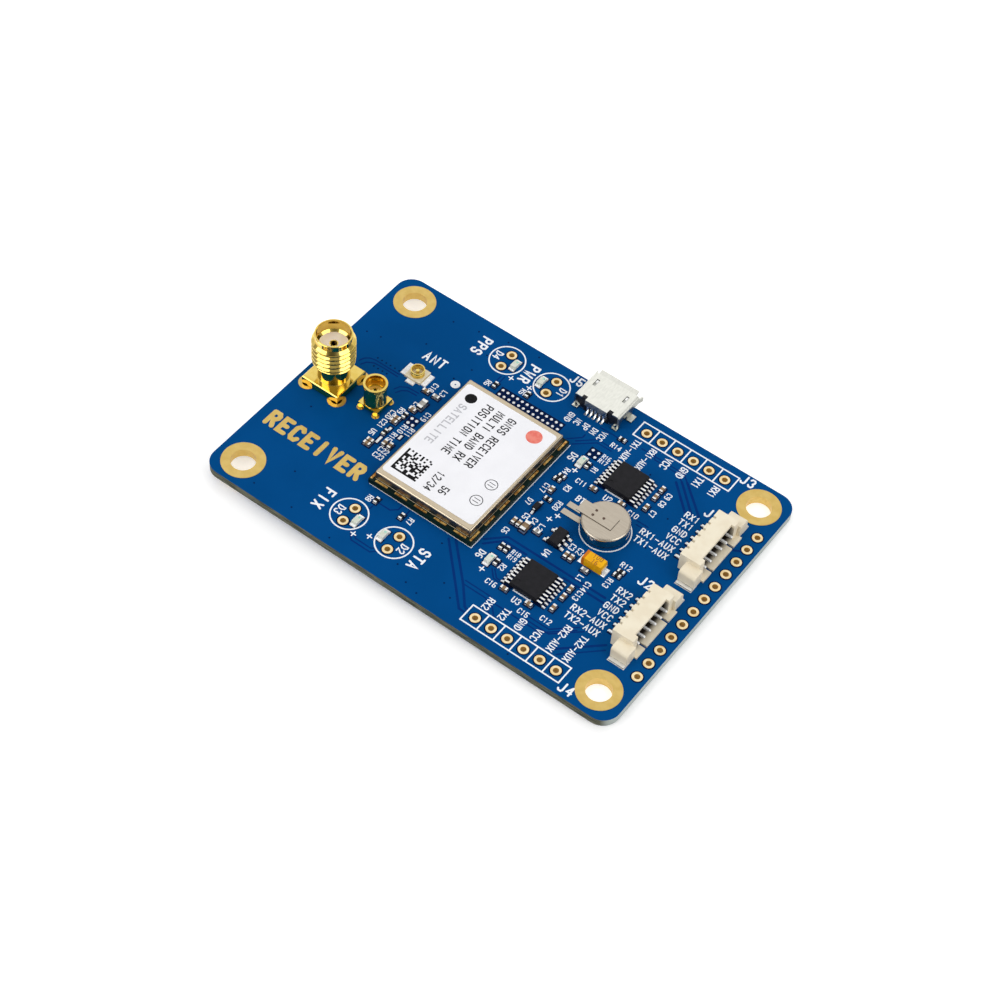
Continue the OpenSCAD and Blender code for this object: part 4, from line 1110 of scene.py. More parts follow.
            lines.append(down(upper[i], 10.1 + step, 17.8, size, align=Align.START, advance=0.61))
            lines.append(down(lower[i], 10.4 + step, -17.65, 1.05, align=Align.END, **tight))
        for i, word in enumerate(("GND", "NC", "DP", "DM", "VCC")):
            lines.append(down(word, 0.3 + 1.36 * i, 15.2, 0.95, **tight))
        for word, x, y in self.level_marks:
            lines.append(Line(word, x, y, **small))
        for word, x, y in self.turned_marks:
            lines.append(down(word, x, y, **small))
        for word, y in (("R16", 12.52), ("R17", 11.62), ("R18", -8.03), ("R19", -8.95)):
            lines.append(Line(word, 8.42, y, 0.74, advance=0.62))
        lines += [down("D5", 4.7, 9.8, 1.12, **tight), down("D6", 4.83, -10.95, 1.08, **tight)]
        return lines

    def print_gold(self) -> None:
        """Makes the large bare-copper word, plated as the lands are."""
        word = Shape()
        Line("RECEIVER", -23.3, -10.45, 3.0, weight=0.23, width=0.6, advance=0.69).draw(
            word, self.top, self.top + self.ink_t
        )
        word.piece("gold_word", GOLD_LAND, "gold_land")

    def cut_openings_and_shade(self) -> None:
        """Makes the dark mask openings round the header lands, dark blocks round the pads that are partly
        mask openings and partly painted shade under the leads, and painted shadow under the socket
        contacts' tails.
        """
        hollow = Shape()
        for node in self.header_nodes:
            for low, high in solids(node):
                centre = ((low.x + high.x) / 2, (low.y + high.y) / 2)
                outer = self.land_r + self.hollow
                hollow.ring(centre, outer, self.land_r, self.top, self.top + self.track_t, 32)
        # Partly mask openings and partly painted shade: a dark block round each pad and lead.
        margin = self.pad_margin
        lift = 0
        for node in self.pad_nodes:
            for low, high in solids(node):
                lift = (lift + 1) % STROKE_LEVELS
                high_z = self.top + self.track_t + STROKE_STEP * lift
                near = (low.x - margin, low.y - margin, self.top)
                hollow.block(near, (high.x + margin, high.y + margin, high_z))
        # Painted shadow: a dark block under each socket contact's tail, out to the housing.
        for side in ("upper", "lower"):
            edge = box_of(f"{side}_socket_housing")[0].x
            for low, high in solids(f"{side}_socket_contacts"):
                near = (low.x - self.tail_past, low.y - self.tail_side, self.top)
                hollow.block(near, (edge, high.y + self.tail_side, self.top + self.track_t))
        hollow.piece("mask_openings_and_painted_shade", DARK_MASK_AND_SHADE, "solder_mask")

    def lay_tracks(self) -> None:
        """Makes the tracks that show as dark lines in the mask."""
        tracks = Shape()
        high = self.top + self.track_t
        for width, path in self.routes():
            tracks.stroke(path, width, self.top, high)
        tracks.piece("mask_tracks", MASK_GAP, "solder_mask")

    def routes(self) -> list[tuple[float, list[Spot]]]:
        """Lists the tracks.

        Returns:
            The width and the middle line of each.
        """
        fine, wide = 0.2, 0.34
        return [
            (wide, [(1.0, -11.2), (6.0, -16.2), (8.3, -18.9), (9.0, -19.2)]),
            (wide, [(0.1, -11.6), (5.2, -16.8), (7.9, -19.6), (8.9, -19.6)]),
            (fine, [(5.9, -15.55), (9.9, -15.55), (12.3, -18.0)]),
            (fine, [(6.1, -16.15), (9.6, -16.15), (11.5, -18.0)]),
            (fine, [(11.0, -16.15), (18.1, -16.15), (21.6, -12.9)]),
            (fine, [(15.4, -15.0), (18.7, -15.0), (21.6, -12.3)]),
            (fine, [(15.6, -15.6), (19.1, -15.6), (22.4, -12.5)]),
            (wide, [(20.9, -17.1), (25.8, -12.4)]),
            (fine, [(21.7, -17.5), (26.2, -13.1)]),
            (wide, [(3.75, -8.75), (6.0, -6.5), (21.5, -6.5)]),
            (wide, [(4.1, -9.4), (6.0, -7.3), (9.5, -7.3)]),
            (wide, [(15.5, -7.3), (21.7, -7.3)]),
            (fine, [(7.75, -11.75), (8.75, -12.75), (9.6, -12.75)]),
            (fine, [(7.4, -11.9), (8.5, -13.05), (9.3, -13.05)]),
            (wide, [(18.0, 15.05), (21.75, 11.55)]),
            (wide, [(18.6, 15.55), (22.7, 11.75)]),
            (wide, [(19.25, 15.9), (23.75, 12.0)]),
            (fine, [(11.2, 16.9), (18.0, 16.9), (19.25, 15.9)]),
            (fine, [(13.0, 17.5), (13.6, 16.4), (17.4, 16.4), (18.6, 15.55)]),
            (fine, [(3.4, 12.3), (5.6, 14.4), (8.2, 14.4)]),
            (fine, [(3.4, 11.6), (5.9, 13.9), (8.2, 13.9)]),
            (fine, [(2.3, 11.9), (3.8, 13.4), (3.8, 14.0)]),
            (fine, [(4.7, 16.4), (7.6, 16.4)]),
            (fine, [(17.6, 6.4), (19.4, 6.4)]),
            (fine, [(17.9, 5.8), (19.0, 5.8)]),
            (wide, [(29.9, 10.2), (31.2, 10.9)]),
            (fine, [(-7.9, -11.1), (-7.9, -12.0), (-8.7, -12.75), (-10.6, -12.75)]),
            (fine, [(-6.6, -11.2), (-6.6, -12.0)]),
            (fine, [(-10.9, -13.6), (-10.9, -14.3)]),
            (fine, [(-10.4, -18.9), (-9.6, -19.75), (-6.5, -19.75), (-5.9, -19.1)]),
            (fine, [(-10.0, -18.6), (-9.3, -19.2), (-6.8, -19.2), (-6.2, -18.7)]),
            (fine, [(-11.3, 15.2), (-11.3, 13.9)]),
            (fine, [(-10.8, 15.4), (-10.8, 13.9)]),
            (fine, [(-28.2, 5.0), (-27.9, 5.8), (-27.3, 6.3), (-26.5, 6.5), (-22.3, 6.5)]),
            (fine, [(-27.6, 4.6), (-27.2, 5.4), (-26.3, 5.95), (-25.0, 6.05), (-22.3, 6.05)]),
            (fine, [(-21.25, 4.0), (-20.9, 4.8), (-20.0, 5.4), (-18.2, 5.5)]),
            (fine, [(-20.7, 3.6), (-20.3, 4.4), (-19.6, 4.9), (-18.2, 5.0)]),
        ]

    def drill_vias(self) -> None:
        """Makes the small filled vias: those that stand alone and a row along the antenna track."""
        vias = Shape()
        spots = list(self.lone_vias)
        for left, y, count in self.via_rows:
            spots += [(left + self.via_step * i, y) for i in range(count)]
        for spot in spots:
            vias.disc(spot, self.via_r, self.top, self.top + self.track_t, 12)
        vias.piece("mask_vias", DARK_MASK_AND_SHADE, "solder_mask")


@dataclass
class ThreadedJack:
    """The large antenna jack, whose plain CAD barrel is replaced by one with a cut thread."""

    axis: Spot = (-28.6, 0.0)
    flange_half: float = 3.1
    flange_low: float = 1.25
    flange_top: float = 2.6
    flange_edge: float = 0.12
    bore_r: float = 2.05
    neck_r: float = 2.25
    thread_low: float = 5.35
    thread_top: float = 9.9
    thread_r: float = 3.05
    thread_depth: float = 0.4
    pitch: float = 0.79
    cone_low: float = 9.48
    fillet: float = 0.06
    nose_r: float = 2.625
    top: float = 10.8
    edge: float = 0.06
    mouth_r: float = 2.375
    shelf: float = 8.8
    rim_h: float = 0.3
    leg_half: float = 0.5
    leg_pitch: float = 5.08
    leg_low: float = -1.0
    leg_tip: float = 0.12
    leg_core: float = 0.02
    groove_half: float = 0.4
    fade_h: float = 0.1
    runout_h: float = 0.42
    lip: Spot = (0.02, 0.06)
    steps: int = 105
    sides: int = 96

    def build(self) -> None:
        """Makes the threaded body and dresses the other pieces."""
        body = Shape()
        self.flange(body)
        self.barrel(body)
        self.legs(body)
        made = body.piece("sma_threaded_body", GOLD_PLATE, "gold_plate", smooth=35.0)
        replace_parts(made, "sma_body")
        dress("sma_insulator", WHITE_INSULATOR)
        dress("sma_contact", GOLD_PLATE)

    def square(self, half: float) -> Callable[[float], float]:
        """Gives the radius of a square of that half side at any turn."""
        return lambda turn: half / max(abs(math.cos(turn)), abs(math.sin(turn)))

    def flange(self, body: Shape) -> None:
        """Adds the square flange with a bore and chamfered edges.

        Args:
            body: The shape that takes it.
        """
        full, drawn = self.square(self.flange_half), self.square(self.flange_half - self.flange_edge)
        body.spin(
            self.axis,
            [
                lambda turn: (self.bore_r, self.flange_low),
                lambda turn: (drawn(turn), self.flange_low),
                lambda turn: (full(turn), self.flange_low + self.flange_edge),
                lambda turn: (full(turn), self.flange_top - self.flange_edge),
                lambda turn: (drawn(turn), self.flange_top),
                lambda turn: (self.bore_r, self.flange_top),
            ],
            self.sides,
        )

    def thread(self, turn: float, height: float) -> float:
        """Gives the radius of the thread at a turn and height.

        Args:
            turn: Angle about the axis.
            height: Height above the board's base.

        Returns:
            The radius, which runs out to the core at the foot and under the cone.
        """
        phase = (height / self.pitch - turn / math.tau) % 1.0
        groove = max(0.0, 1.0 - abs(phase - 0.5) / self.groove_half)
        fade = min(1.0, max(0.0, (self.cone_low - height) / self.fade_h))
        cone = (self.thread_top - height) / (self.thread_top - self.cone_low)
        runout = min(1.0, (height - self.thread_low) / self.runout_h, cone)
        slope = self.nose_r + (self.thread_r - self.nose_r) * max(0.0, runout)
        return min(slope, self.thread_r - self.thread_depth * groove * fade)

    def barrel(self, body: Shape) -> None:
        """Adds the neck, thread, nose and mouth as one turned section.

        Args:
            body: The shape that takes it.
        """
        span = self.thread_top - self.thread_low
        heights = [self.thread_low + span * i / self.steps for i in range(self.steps + 1)]
        rows: list[Callable[[float], Spot]] = [lambda turn: (self.bore_r, self.flange_top)]
        for bend in (math.pi / 2 * i / 5 for i in range(6)):
            radius = self.neck_r + self.fillet * (1 - math.sin(bend))
            foot = self.flange_top + self.fillet * (1 - math.cos(bend))
            rows.append(lambda turn, spot=(radius, foot): spot)
        rows.append(lambda turn: (self.neck_r, self.thread_low))
        rows += [lambda turn, z=height: (self.thread(turn, z), z) for height in heights]
        rows += [
            lambda turn: (self.nose_r, self.top - self.edge),
            lambda turn: (self.nose_r - self.edge, self.top),
            lambda turn: (self.mouth_r + self.lip[0], self.top),
            lambda turn: (self.mouth_r, self.top - self.lip[1]),
            lambda turn: (self.mouth_r, self.shelf + self.rim_h),
            lambda turn: (self.bore_r, self.shelf),
        ]
        body.spin(self.axis, rows, self.sides)

    def legs(self, body: Shape) -> None:
        """Adds the four square legs with tapered tips.

        Args:
            body: The shape that takes them.
        """
        for x in (-self.leg_pitch / 2, self.leg_pitch / 2):
            for y in (-self.leg_pitch / 2, self.leg_pitch / 2):
                centre = (self.axis[0] + x, self.axis[1] + y)
                whole = self.square(self.leg_half)
                drawn = self.square(self.leg_half - self.leg_tip)
                body.spin(
                    centre,
                    [
                        lambda turn: (self.leg_core, self.leg_low),
                        lambda turn: (drawn(turn), self.leg_low),
                        lambda turn: (whole(turn), self.leg_low + self.leg_tip),
                        lambda turn: (whole(turn), self.flange_low),
                        lambda turn: (self.leg_core, self.flange_low),
                    ],
                    16,
                )


@dataclass
class SmallJack:
    """The small antenna jack beside the threaded one."""

    edge: float = 0.06

    def build(self) -> None:
        """Dresses its pieces and the solder of both jacks' legs."""
        dress("mmcx_body", GOLD_PLATE)
        soften("mmcx_body", self.edge)
        dress("mmcx_contact", GOLD_PLATE)
        # The small jack's insulator carries a painted gold reflection.
        dress("mmcx_insulator", INSULATOR_GOLD_REFLECTION)
        dress("leg_solder_joints", SOLDER)


@dataclass
class SurfaceSocket:
    """The miniature antenna socket with its solder pads."""

    top: float = 1.2
    pad_t: float = 0.16
    margin: float = 0.06
    side_margin: float = 0.15
    tail_margin: float = 0.1
    base_gap: float = 0.05
    tail_gap: float = 0.02
    inset: float = 0.06
    edge: float = 0.03

    def build(self) -> None:
        """Dresses the pieces and lays solder over the feet."""
        dress("coax_base", CREAM_BASE)
        dress("coax_shell", GOLD_PLATE)
        dress("coax_pin", GOLD_PLATE)
        soften("coax_shell", self.edge)
        low, high = box_of("coax_shell")
        base_low, base_high = box_of("coax_base")
        pads = Shape()
        left = (low.x - self.margin, base_low.x - self.base_gap)
        right = (base_high.x + self.base_gap, high.x + self.margin)
        pad_top = self.top + self.pad_t
        for near, far in (left, right):
            corner = (near, low.y - self.side_margin, self.top)
            pads.mound(corner, (far, high.y + self.side_margin, pad_top), self.inset)
        tail_low, tail_high = box_of("coax_pin")
        corner = (tail_low.x - self.tail_margin, tail_low.y - self.tail_margin, self.top)
        end = (tail_high.x + self.tail_margin, base_low.y - self.tail_gap, pad_top)
        pads.mound(corner, end, self.inset)
        pads.piece("coax_pads", SOLDER, "solder")


@dataclass
class ReceiverModule:
    """The shielded module with its printed label."""

    label_top: float = 3.6
    can_edge: float = 0.14
    ink_t: float = 0.012
    code_centre: Spot = (-10.0, -6.45)
    code_side: float = 4.1
    code_cells: int = 14
    code_seed: int = 11
    dot: Spot = (-10.9, 7.6)
    dot_r: float = 0.85

    def build(self) -> None:
        """Dresses the module and prints its label."""
        dress("module_carrier", CARRIER_GREEN)
        dress("module_lands", STRIP_GOLD)
        dress("module_shield_can", SHIELD_SHEET)
        soften("module_shield_can", self.can_edge)
        dress("module_label", LABEL_PAPER)
        for node in ("module_receiver_chip", "module_memory_chip"):
            dress(node, CHIP_BLACK)
        for node in ("module_oscillator", "module_filters"):
            dress(node, LID_METAL)
        self.print_label()

    def print_label(self) -> None:
        """Makes the generic print: words, a code square, a corner dot and two round marks."""
        black, grey, red = Shape(), Shape(), Shape()
        low, high = self.label_top, self.label_top + self.ink_t
        black.disc(self.dot, self.dot_r, low, high, 40)
        thin = {"weight": 0.135, "width": 0.5, "advance": 0.62, "align": Align.START}
        for words, x in (("GNSS RECEIVER", -4.2), ("MULTI BAND RX", -6.1), ("POSITION TIME", -8.0)):
            down(words, x, 8.2, 1.3, **thin).draw(black, low, high)
        down("12/34", -6.1, -5.0, 1.2, **thin).draw(black, low, high)
        down("56", -4.15, -6.6, 1.2, **thin).draw(black, low, high)
        for y in (-2.55, -5.85):
            black.ring((0.15, y), 0.9, 0.8, low, high, 40)
            black.stroke([(-0.3, y - 0.25), (0.6, y - 0.25)], 0.09, low, high)
            black.stroke([(-0.3, y + 0.25), (0.6, y + 0.25)], 0.09, low, high)
        word = down("SATELLITE", -10.9, 6.1, 1.25, weight=0.16, width=0.6, align=Align.START)
        word.draw(grey, low, high)
        red.disc((-0.3, 7.6), 1.15, low, high, 40)
        self.code(black, low, high)
        black.piece("label_print", PRINT_BLACK, "label_paper")
        grey.piece("label_grey_print", PRINT_GREY, "label_paper")
        red.piece("label_red_mark", PRINT_RED, "label_paper")

    def code(self, black: Shape, low: float, high: float) -> None:
        """Adds a square of cells with two solid sides and a made-up filling.

        Args:
            black: The shape that takes the cells.
            low: Height of the print's base.
            high: Height of the print's top.
        """
        draw = random.Random(self.code_seed)
        cell = self.code_side / self.code_cells
        last = self.code_cells - 1
        left, bottom = (middle - self.code_side / 2 for middle in self.code_centre)
        for row in range(self.code_cells):
            for column in range(self.code_cells):
                filled = draw.random() < 0.5
                if row in (0, last):
                    filled = row == 0 or column % 2 == 0
                if column in (0, last):
                    filled = column == 0 or row % 2 == 0
                if filled:
                    x, y = left + column * cell, bottom + row * cell
                    black.block((x, y, low), (x + cell * 0.98, y + cell * 0.98, high))


@dataclass
class UsbSocket:
    """The micro USB socket at the long edge."""

    middle_x: float = 3.05
    window_x: float = 2.45
    window_y: tuple[float, float] = (20.2, 21.4)
    spring_half: float = 0.2
    spring_z: tuple[float, float] = (3.36, 3.44)
    tip_y: float = 20.8
    tip_z: float = 3.56
    rear_gap: float = 0.02
    tip_gap: float = 0.04
    spring_inset: float = 0.03
    tip_inset: float = 0.06

    def build(self) -> None:
        """Dresses the socket and sets a spring with a bent tip in each window."""
        dress("usb_shell", STEEL_SHELL)
        dress("usb_insulator", BLACK_PLASTIC)
        dress("usb_contacts", TINNED)
        springs, tips = Shape(), Shape()
        rear, front = self.window_y
        low, high = self.spring_z
        for side in (-1, 1):
            x = self.middle_x + side * self.window_x
            near, far = x - self.spring_half, x + self.spring_half
            springs.mound((near, rear + self.rear_gap, low), (far, self.tip_y, high), self.spring_inset)
            tips.mound((near, self.tip_y, low), (far, front - self.tip_gap, self.tip_z), self.tip_inset)
        # The springs are laid in the darker steel as painted shade.
        springs.piece("usb_springs", SHADED_STEEL, "steel_shell")
        tips.piece("usb_spring_tips", PIN, "steel_shell")


@dataclass
class SideSockets:
    """The two cream side-entry sockets with soldered tails and tabs."""

    top: float = 1.2
    pad_t: float = 0.06
    edge: float = 0.07
    tail_past: float = 0.12
    tail_in: float = 0.3
    tail_inset: float = 0.04
    tab_margin: float = 0.1
    tab_inset: float = 0.06

    def build(self) -> None:
        """Dresses both sockets and lays solder on their pads."""
        pads = Shape()
        for side in ("upper", "lower"):
            dress(f"{side}_socket_housing", CREAM_PLASTIC)
            soften(f"{side}_socket_housing", self.edge)
            dress(f"{side}_socket_contacts", PIN)
            dress(f"{side}_socket_tabs", LEAD)
            high_z = self.top + self.pad_t
            for low, high in solids(f"{side}_socket_contacts"):
                near = (low.x - self.tail_past, low.y, self.top)
                pads.mound(near, (low.x + self.tail_in, high.y, high_z), self.tail_inset)
            margin = self.tab_margin
            for low, high in solids(f"{side}_socket_tabs"):
                near = (low.x - margin, low.y - margin, self.top)
                pads.mound(near, (high.x + margin, high.y + margin, high_z), self.tab_inset)
        pads.piece("socket_pads", LEAD, "solder")


@dataclass
class Chips:
    """The leaded chips: two level shifters, a regulator and a diode."""

    top: float = 1.2
    pad_t: float = 0.1
    past: float = 0.2
    under: float = 0.3
    beside: float = 0.01
    inset: float = 0.03
    edge: float = 0.04

    def build(self) -> None:
        """Dresses the bodies and leads and lays a pad under each lead."""
        pads = Shape()
        for name in ("upper_shifter", "lower_shifter", "regulator", "diode"):
            dress(f"{name}_body", CHIP_BLACK)
            dress(f"{name}_leads", LEAD)
            self.lay_pads(name, pads)
        for name in ("upper_shifter", "lower_shifter"):
            soften(f"{name}_body", self.edge)
        pads.piece("chip_pads", SOLDER, "solder")

    def lay_pads(self, name: str, pads: Shape) -> None:
        """Adds a pad under the outer end of each lead of a chip.

        Args:
            name: The chip's name.
            pads: The shape that takes the pads.
        """
        body_low, body_high = box_of(f"{name}_body")
        middle = (body_low + body_high) / 2
        for low, high in solids(f"{name}_leads"):
            along = 0 if high.x - low.x > high.y - low.y else 1
            sign = 1 if (low[along] + high[along]) / 2 > middle[along] else -1
            outer = high[along] if sign > 0 else low[along]
            near = [low.x - self.beside, low.y - self.beside, self.top]
            far = [high.x + self.beside, high.y + self.beside, self.top + self.pad_t]
            near[along], far[along] = sorted((outer - sign * self.under, outer + sign * self.past))
            pads.mound(near, far, self.inset)


@dataclass
class CoinCell:
    """The back-up cell with weld marks on its upper tab."""

    tab_top: float = 3.54
    welds: tuple[Spot, ...] = ((13.36, 2.82), (13.36, 1.93), (14.85, 2.33))
    weld_r: float = 0.2
    weld_core: float = 0.45
    weld_t: float = 0.02
    core_t: float = 0.008
    shadow_left: float = 12.1
    shadow_cut: float = 1.2
    shadow_pen: float = 0.07
    shadow_sink: tuple[float, float] = (0.12, 0.06)

    def build(self) -> None:
        """Dresses the cell, draws a painted shadow line round the tab and presses the weld marks into its
        tab.
        """
        for node in ("cell_can", "cell_cap", "cell_top_tab", "cell_bottom_tab"):
            dress(node, CELL_TOP)
        dress("cell_gasket", BLACK_PLASTIC)
        marks = Shape()
        core = self.weld_r * self.weld_core
        for centre in self.welds:
            marks.ring(centre, self.weld_r, core, self.tab_top, self.tab_top + self.weld_t, 20)
            marks.disc(centre, core, self.tab_top, self.tab_top + self.core_t, 12)
        marks.piece("cell_weld_marks", FLUX_BROWN, "cell_steel")
        # Painted shadow: a dark line along the foot of the upper tab.
        low, high = box_of("cell_top_tab")
        shadow_line = Shape()
        left = self.shadow_left
        outline = [(left, low.y), (high.x, low.y), (high.x, high.y), (left + self.shadow_cut, high.y)]
        shadow_line.stroke(outline, self.shadow_pen, *(self.tab_top - sink for sink in self.shadow_sink))
        shadow_line.piece("cell_tab_painted_shadow", TAB_SHADOW, "cell_steel")


@dataclass
class ChipParts:
    """Chip resistors, capacitors, inductors and the tantalum capacitor, with solder at their ends."""

    top: float = 1.2
    margin: float = 0.05
    solder_share: float = 0.4
    inset_share: float = 0.9
    terminal_margin: Spot = (0.1, 0.15)
    terminal_t: float = 0.1
    terminal_inset: float = 0.08
    long_pad: float = 1.4
    pad_inset: float = 0.1
    print_t: float = 0.01
    print_shift: float = 0.3
    print_lines: tuple[tuple[str, float], ...] = (("100", 0.42), ("16", -0.42))

    def build(self) -> None:
        """Dresses the parts and lays solder round every end cap."""
        for node, finish in (("resistor_bodies", CHIP_BLACK), ("capacitor_bodies", CERAMIC_TAN),
                             ("inductor_bodies", FERRITE), ("tantalum_body", TANTALUM),
                             ("tantalum_terminals", TINNED)):
            dress(node, finish)
        self.raise_bumps()
        self.print_value()
        solder = Shape()
        for node in ("resistor_caps", "capacitor_caps", "inductor_caps"):
            dress(node, LEAD)
            for low, high in solids(node):
                rise = self.top + (high.z - low.z) * self.solder_share
                corner_low = (low.x - self.margin, low.y - self.margin, self.top)
                corner_high = (high.x + self.margin, high.y + self.margin, rise)
                solder.mound(corner_low, corner_high, self.margin * self.inset_share)
        for low, high in solids("tantalum_terminals"):
            side, end = self.terminal_margin
            corner_high = (high.x + side, high.y + end, self.top + self.terminal_t)
            solder.mound((low.x - side, low.y - end, self.top), corner_high, self.terminal_inset)
        solder.piece("chip_solder", TINNED, "solder")

    def raise_bumps(self) -> None:
        """Replaces the plain bare pads by round bumps of solder, or by mounds where a pad is long."""
        bumps = Shape()
        for low, high in solids("bare_pad_solder"):
            wide, deep = high.x - low.x, high.y - low.y
            if max(wide, deep) > self.long_pad * min(wide, deep):
                bumps.mound(low, high, self.pad_inset)
            else:
                centre = ((low.x + high.x) / 2, (low.y + high.y) / 2)
                bumps.dome(centre, min(wide, deep) / 2, low.z, high.z)
        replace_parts(bumps.piece("solder_bumps", SOLDER, "solder", smooth=50.0), "bare_pad_solder")

    def print_value(self) -> None:
        """Prints a value on the tantalum capacitor."""
        low, high = box_of("tantalum_body")
        value = Shape()
        for words, shift in self.print_lines:
            place = (low.x + high.x) / 2 + self.print_shift, (low.y + high.y) / 2 + shift
            Line(words, *place, 0.7, weight=0.14).draw(value, high.z, high.z + self.print_t)
        value.piece("tantalum_print", PRINT_BROWN, "tantalum_yellow")


@dataclass
class Lamps:
    """The six indicator lamps with a green mark at one end of each lens and soldered ends."""

    top: float = 1.2
    mark_r: float = 0.17
    mark_t: float = 0.01
    mark_side: float = 0.1
    mark_in: float = 0.32
    solder_t: float = 0.16
    solder_margin: Spot = (0.04, 0.1)
    solder_inset: float = 0.06

    def build(self) -> None:
        """Dresses the bases, lenses and terminals, marks the lenses and solders the terminals."""
        dress("lamp_bases", LAMP_BASE)
        dress("lamp_lenses", LAMP_LENS)
        dress("lamp_terminals", TINNED)
        marks, solder = Shape(), Shape()
        for low, high in solids("lamp_lenses"):
            middle = (low.x + high.x) / 2
            centre = (middle + self.mark_side, high.y - self.mark_in)
            marks.disc(centre, self.mark_r, high.z, high.z + self.mark_t, 16)
        side, end = self.solder_margin
        for low, high in solids("lamp_terminals"):
            far = (high.x + side, high.y + end, self.top + self.solder_t)
            solder.mound((low.x - side, low.y - end, self.top), far, self.solder_inset)
        marks.piece("lamp_marks", LAMP_SPOT, "lamp_clear")
        solder.piece("lamp_solder", SOLDER, "solder")


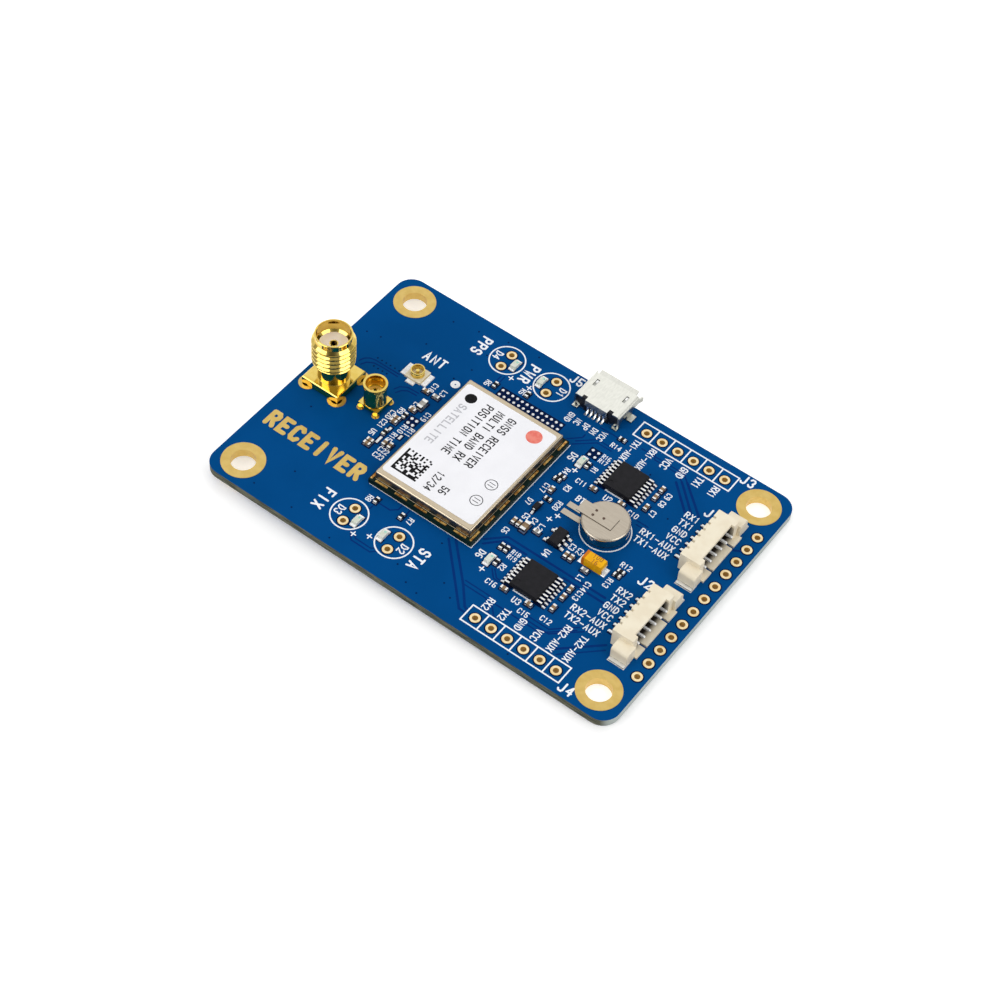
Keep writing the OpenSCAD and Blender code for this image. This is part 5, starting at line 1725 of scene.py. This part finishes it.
@dataclass
class Studio:
    """A pale floor with a low cove, three softboxes, a plain sky and the camera of the photograph."""

    pivot_x: float = 33.0
    pivot_z: float = -0.05
    foot_x: float = -19.95
    foot_z: float = -1.0
    flat_r: float = 1200.0
    cove_r: float = 1700.0
    cove_h: float = 500.0
    cove_steps: int = 8
    floor_sides: int = 64
    camera_place: Place = (101.19, -157.99, 238.18)
    camera_aim: Place = (1.514, -2.267, 1.2)
    camera_roll: float = 5.16
    lens: float = 81.9
    sensor: float = 36.0
    floor_colour: Colour = (0.9, 0.9, 0.9)
    floor_glow: Colour = (0.48, 0.48, 0.48)
    open_share: float = 0.36
    far_ease: tuple[float, float] = (-12.0, 14.0)
    under_x: float = 31.8
    under_y: float = 21.2
    sky: float = 0.42
    dim: float = 0.08
    dim_rise: float = 18.0
    dim_ease: tuple[float, float] = (0.8, 0.93)
    box_swing: float = 62.0
    box_rise: float = 38.0
    back_rise: float = 52.0
    box_distance: float = 560.0
    box_side: float = 420.0
    box_power: float = 1.3
    back_side: float = 700.0
    back_power: float = 0.95

    def build(self) -> None:
        """Sets the view, then makes the floor, the light and the camera."""
        bpy.context.scene.view_settings.view_transform = "Standard"
        self.lay_floor()
        self.light()
        self.aim()

    def lay_floor(self) -> None:
        """Makes a floor that touches the jack's legs and the far edge, and rises far away into a cove."""
        slope = (self.pivot_z - self.foot_z) / (self.pivot_x - self.foot_x)
        sides = self.floor_sides
        bends = [math.pi / 2 * i / self.cove_steps for i in range(1, self.cove_steps + 1)]
        rows = [(0.0, 0.0), (self.flat_r, 0.0)]
        rows += [
            (self.flat_r + (self.cove_r - self.flat_r) * math.sin(t), self.cove_h * (1 - math.cos(t)))
            for t in bends
        ]
        points, faces = [], []
        for radius, height in rows:
            for step in range(sides):
                turn = math.tau * step / sides
                x, y = radius * math.cos(turn), radius * math.sin(turn)
                points.append(Vector((x, y, height + self.pivot_z + slope * (x - self.pivot_x))) * MM)
        for row in range(len(rows) - 1):
            for step in range(sides):
                after = (step + 1) % sides
                here, there = row * sides, (row + 1) * sides
                faces.append((here + step, here + after, there + after, there + step))
        mesh = bpy.data.meshes.new("floor")
        mesh.from_pydata(points, [], faces)
        mesh.shade_smooth()
        mesh.materials.append(self.floor_material())
        floor = bpy.data.objects.new("floor", mesh)
        bpy.context.scene.collection.objects.link(floor)

    def floor_material(self) -> bpy.types.Material:
        """A matt pale floor with light of its own towards the camera and in reflections.

        Returns:
            The material, which glows more under the board and behind it than in front of it.
        """
        made = bpy.data.materials.new("pale_floor")
        made.use_nodes = True
        graph = Graph(made.node_tree)
        path = graph.node("ShaderNodeLightPath", {}, {})
        seen = Value(graph, path.outputs["Is Camera Ray"])
        for name in ("Is Glossy Ray", "Is Transmission Ray"):
            seen = seen.larger(Value(graph, path.outputs[name]))
        x, y = (graph.axis(graph.place(), name) for name in "XY")
        under = (abs(x) < self.under_x) * (abs(y) < self.under_y)
        away = Vector(self.camera_aim[:2]) - Vector(self.camera_place[:2])
        away.normalize()
        behind = (x * away.x + y * away.y).ease(*self.far_ease)
        seen = seen * (self.open_share + (1 - self.open_share) * under.larger(behind))
        matt = graph.node("ShaderNodeBsdfDiffuse", {}, {"Color": self.floor_colour})
        glow = graph.node("ShaderNodeEmission", {}, {"Color": self.floor_glow, "Strength": 1.0})
        both = graph.node("ShaderNodeAddShader", {}, {0: matt.outputs[0], 1: glow.outputs[0]})
        shown = graph.node("ShaderNodeMixShader", {}, {0: seen, 1: matt.outputs[0], 2: both.outputs[0]})
        graph.node("ShaderNodeOutputMaterial", {}, {"Surface": shown.outputs[0]})
        return made

    def light(self) -> None:
        """Makes a sky that is dim behind the camera, and softboxes left, right and opposite."""
        world = bpy.data.worlds.new("studio")
        bpy.context.scene.world = world
        world.use_nodes = True
        graph = Graph(world.node_tree)
        camera_turn = math.atan2(self.camera_place[1], self.camera_place[0])
        rise = math.radians(self.dim_rise)
        flat = math.cos(rise)
        behind = (flat * math.cos(camera_turn), flat * math.sin(camera_turn), math.sin(rise))
        ahead = graph.node("ShaderNodeTexCoord", {}, {}).outputs["Generated"]
        dot = graph.node("ShaderNodeVectorMath", {"operation": "DOT_PRODUCT"}, {0: ahead, 1: behind})
        share = Value(graph, dot.outputs["Value"]).ease(*self.dim_ease)
        bright, dim = (
            graph.node("ShaderNodeBackground", {}, {"Color": (1.0, 1.0, 1.0), "Strength": strength})
            for strength in (self.sky, self.dim)
        )
        sky = graph.node("ShaderNodeMixShader", {}, {0: share, 1: bright.outputs[0], 2: dim.outputs[0]})
        graph.node("ShaderNodeOutputWorld", {}, {"Surface": sky.outputs[0]})
        for name, swing, rise, side, power in (
            ("softbox_left", -self.box_swing, self.box_rise, self.box_side, self.box_power),
            ("softbox_right", self.box_swing, self.box_rise, self.box_side, self.box_power),
            ("softbox_back", 180.0, self.back_rise, self.back_side, self.back_power),
        ):
            self.softbox(name, camera_turn + math.radians(swing), math.radians(rise), side, power)

    def softbox(self, name: str, turn: float, rise: float, side: float, power: float) -> None:
        """Adds one square softbox that faces the board.

        Args:
            name: Its name.
            turn: Its angle about the board.
            rise: Its angle above the floor.
            side: Its side in millimetres.
            power: Its power in watts.
        """
        lamp = bpy.data.lights.new(name, "AREA")
        lamp.size = side * MM
        lamp.energy = power
        holder = bpy.data.objects.new(name, lamp)
        flat = math.cos(rise)
        aim = Vector((flat * math.cos(turn), flat * math.sin(turn), math.sin(rise)))
        place = aim * self.box_distance * MM
        holder.location = place
        holder.rotation_euler = (-place).to_track_quat("-Z", "Y").to_euler()
        bpy.context.scene.collection.objects.link(holder)

    def aim(self) -> None:
        """Makes the camera at the photograph's viewing angle."""
        data = bpy.data.cameras.new("camera")
        data.lens = self.lens
        data.sensor_width = self.sensor
        data.clip_start = 0.01
        camera = bpy.data.objects.new("camera", data)
        place = Vector(self.camera_place) * MM
        ahead = (Vector(self.camera_aim) * MM - place).normalized()
        level = ahead.cross(Vector((0.0, 0.0, 1.0))).normalized()
        upright = level.cross(ahead)
        turned = Matrix((level, upright, -ahead)).transposed().to_4x4()
        roll = Matrix.Rotation(math.radians(self.camera_roll), 4, "Z")
        camera.matrix_world = Matrix.Translation(place) @ turned @ roll
        bpy.context.scene.collection.objects.link(camera)
        bpy.context.scene.camera = camera


def main() -> None:
    """Builds the sub-assemblies and the studio in order."""
    logging.basicConfig(level=logging.INFO, format="%(message)s")
    for part in (Studio(), CircuitBoard(), ThreadedJack(), SmallJack(), SurfaceSocket(), ReceiverModule(),
                 UsbSocket(), SideSockets(), Chips(), CoinCell(), ChipParts(), Lamps()):
        part.build()
        LOG.info("built %s", type(part).__name__)


if __name__ == "__main__":
    main()
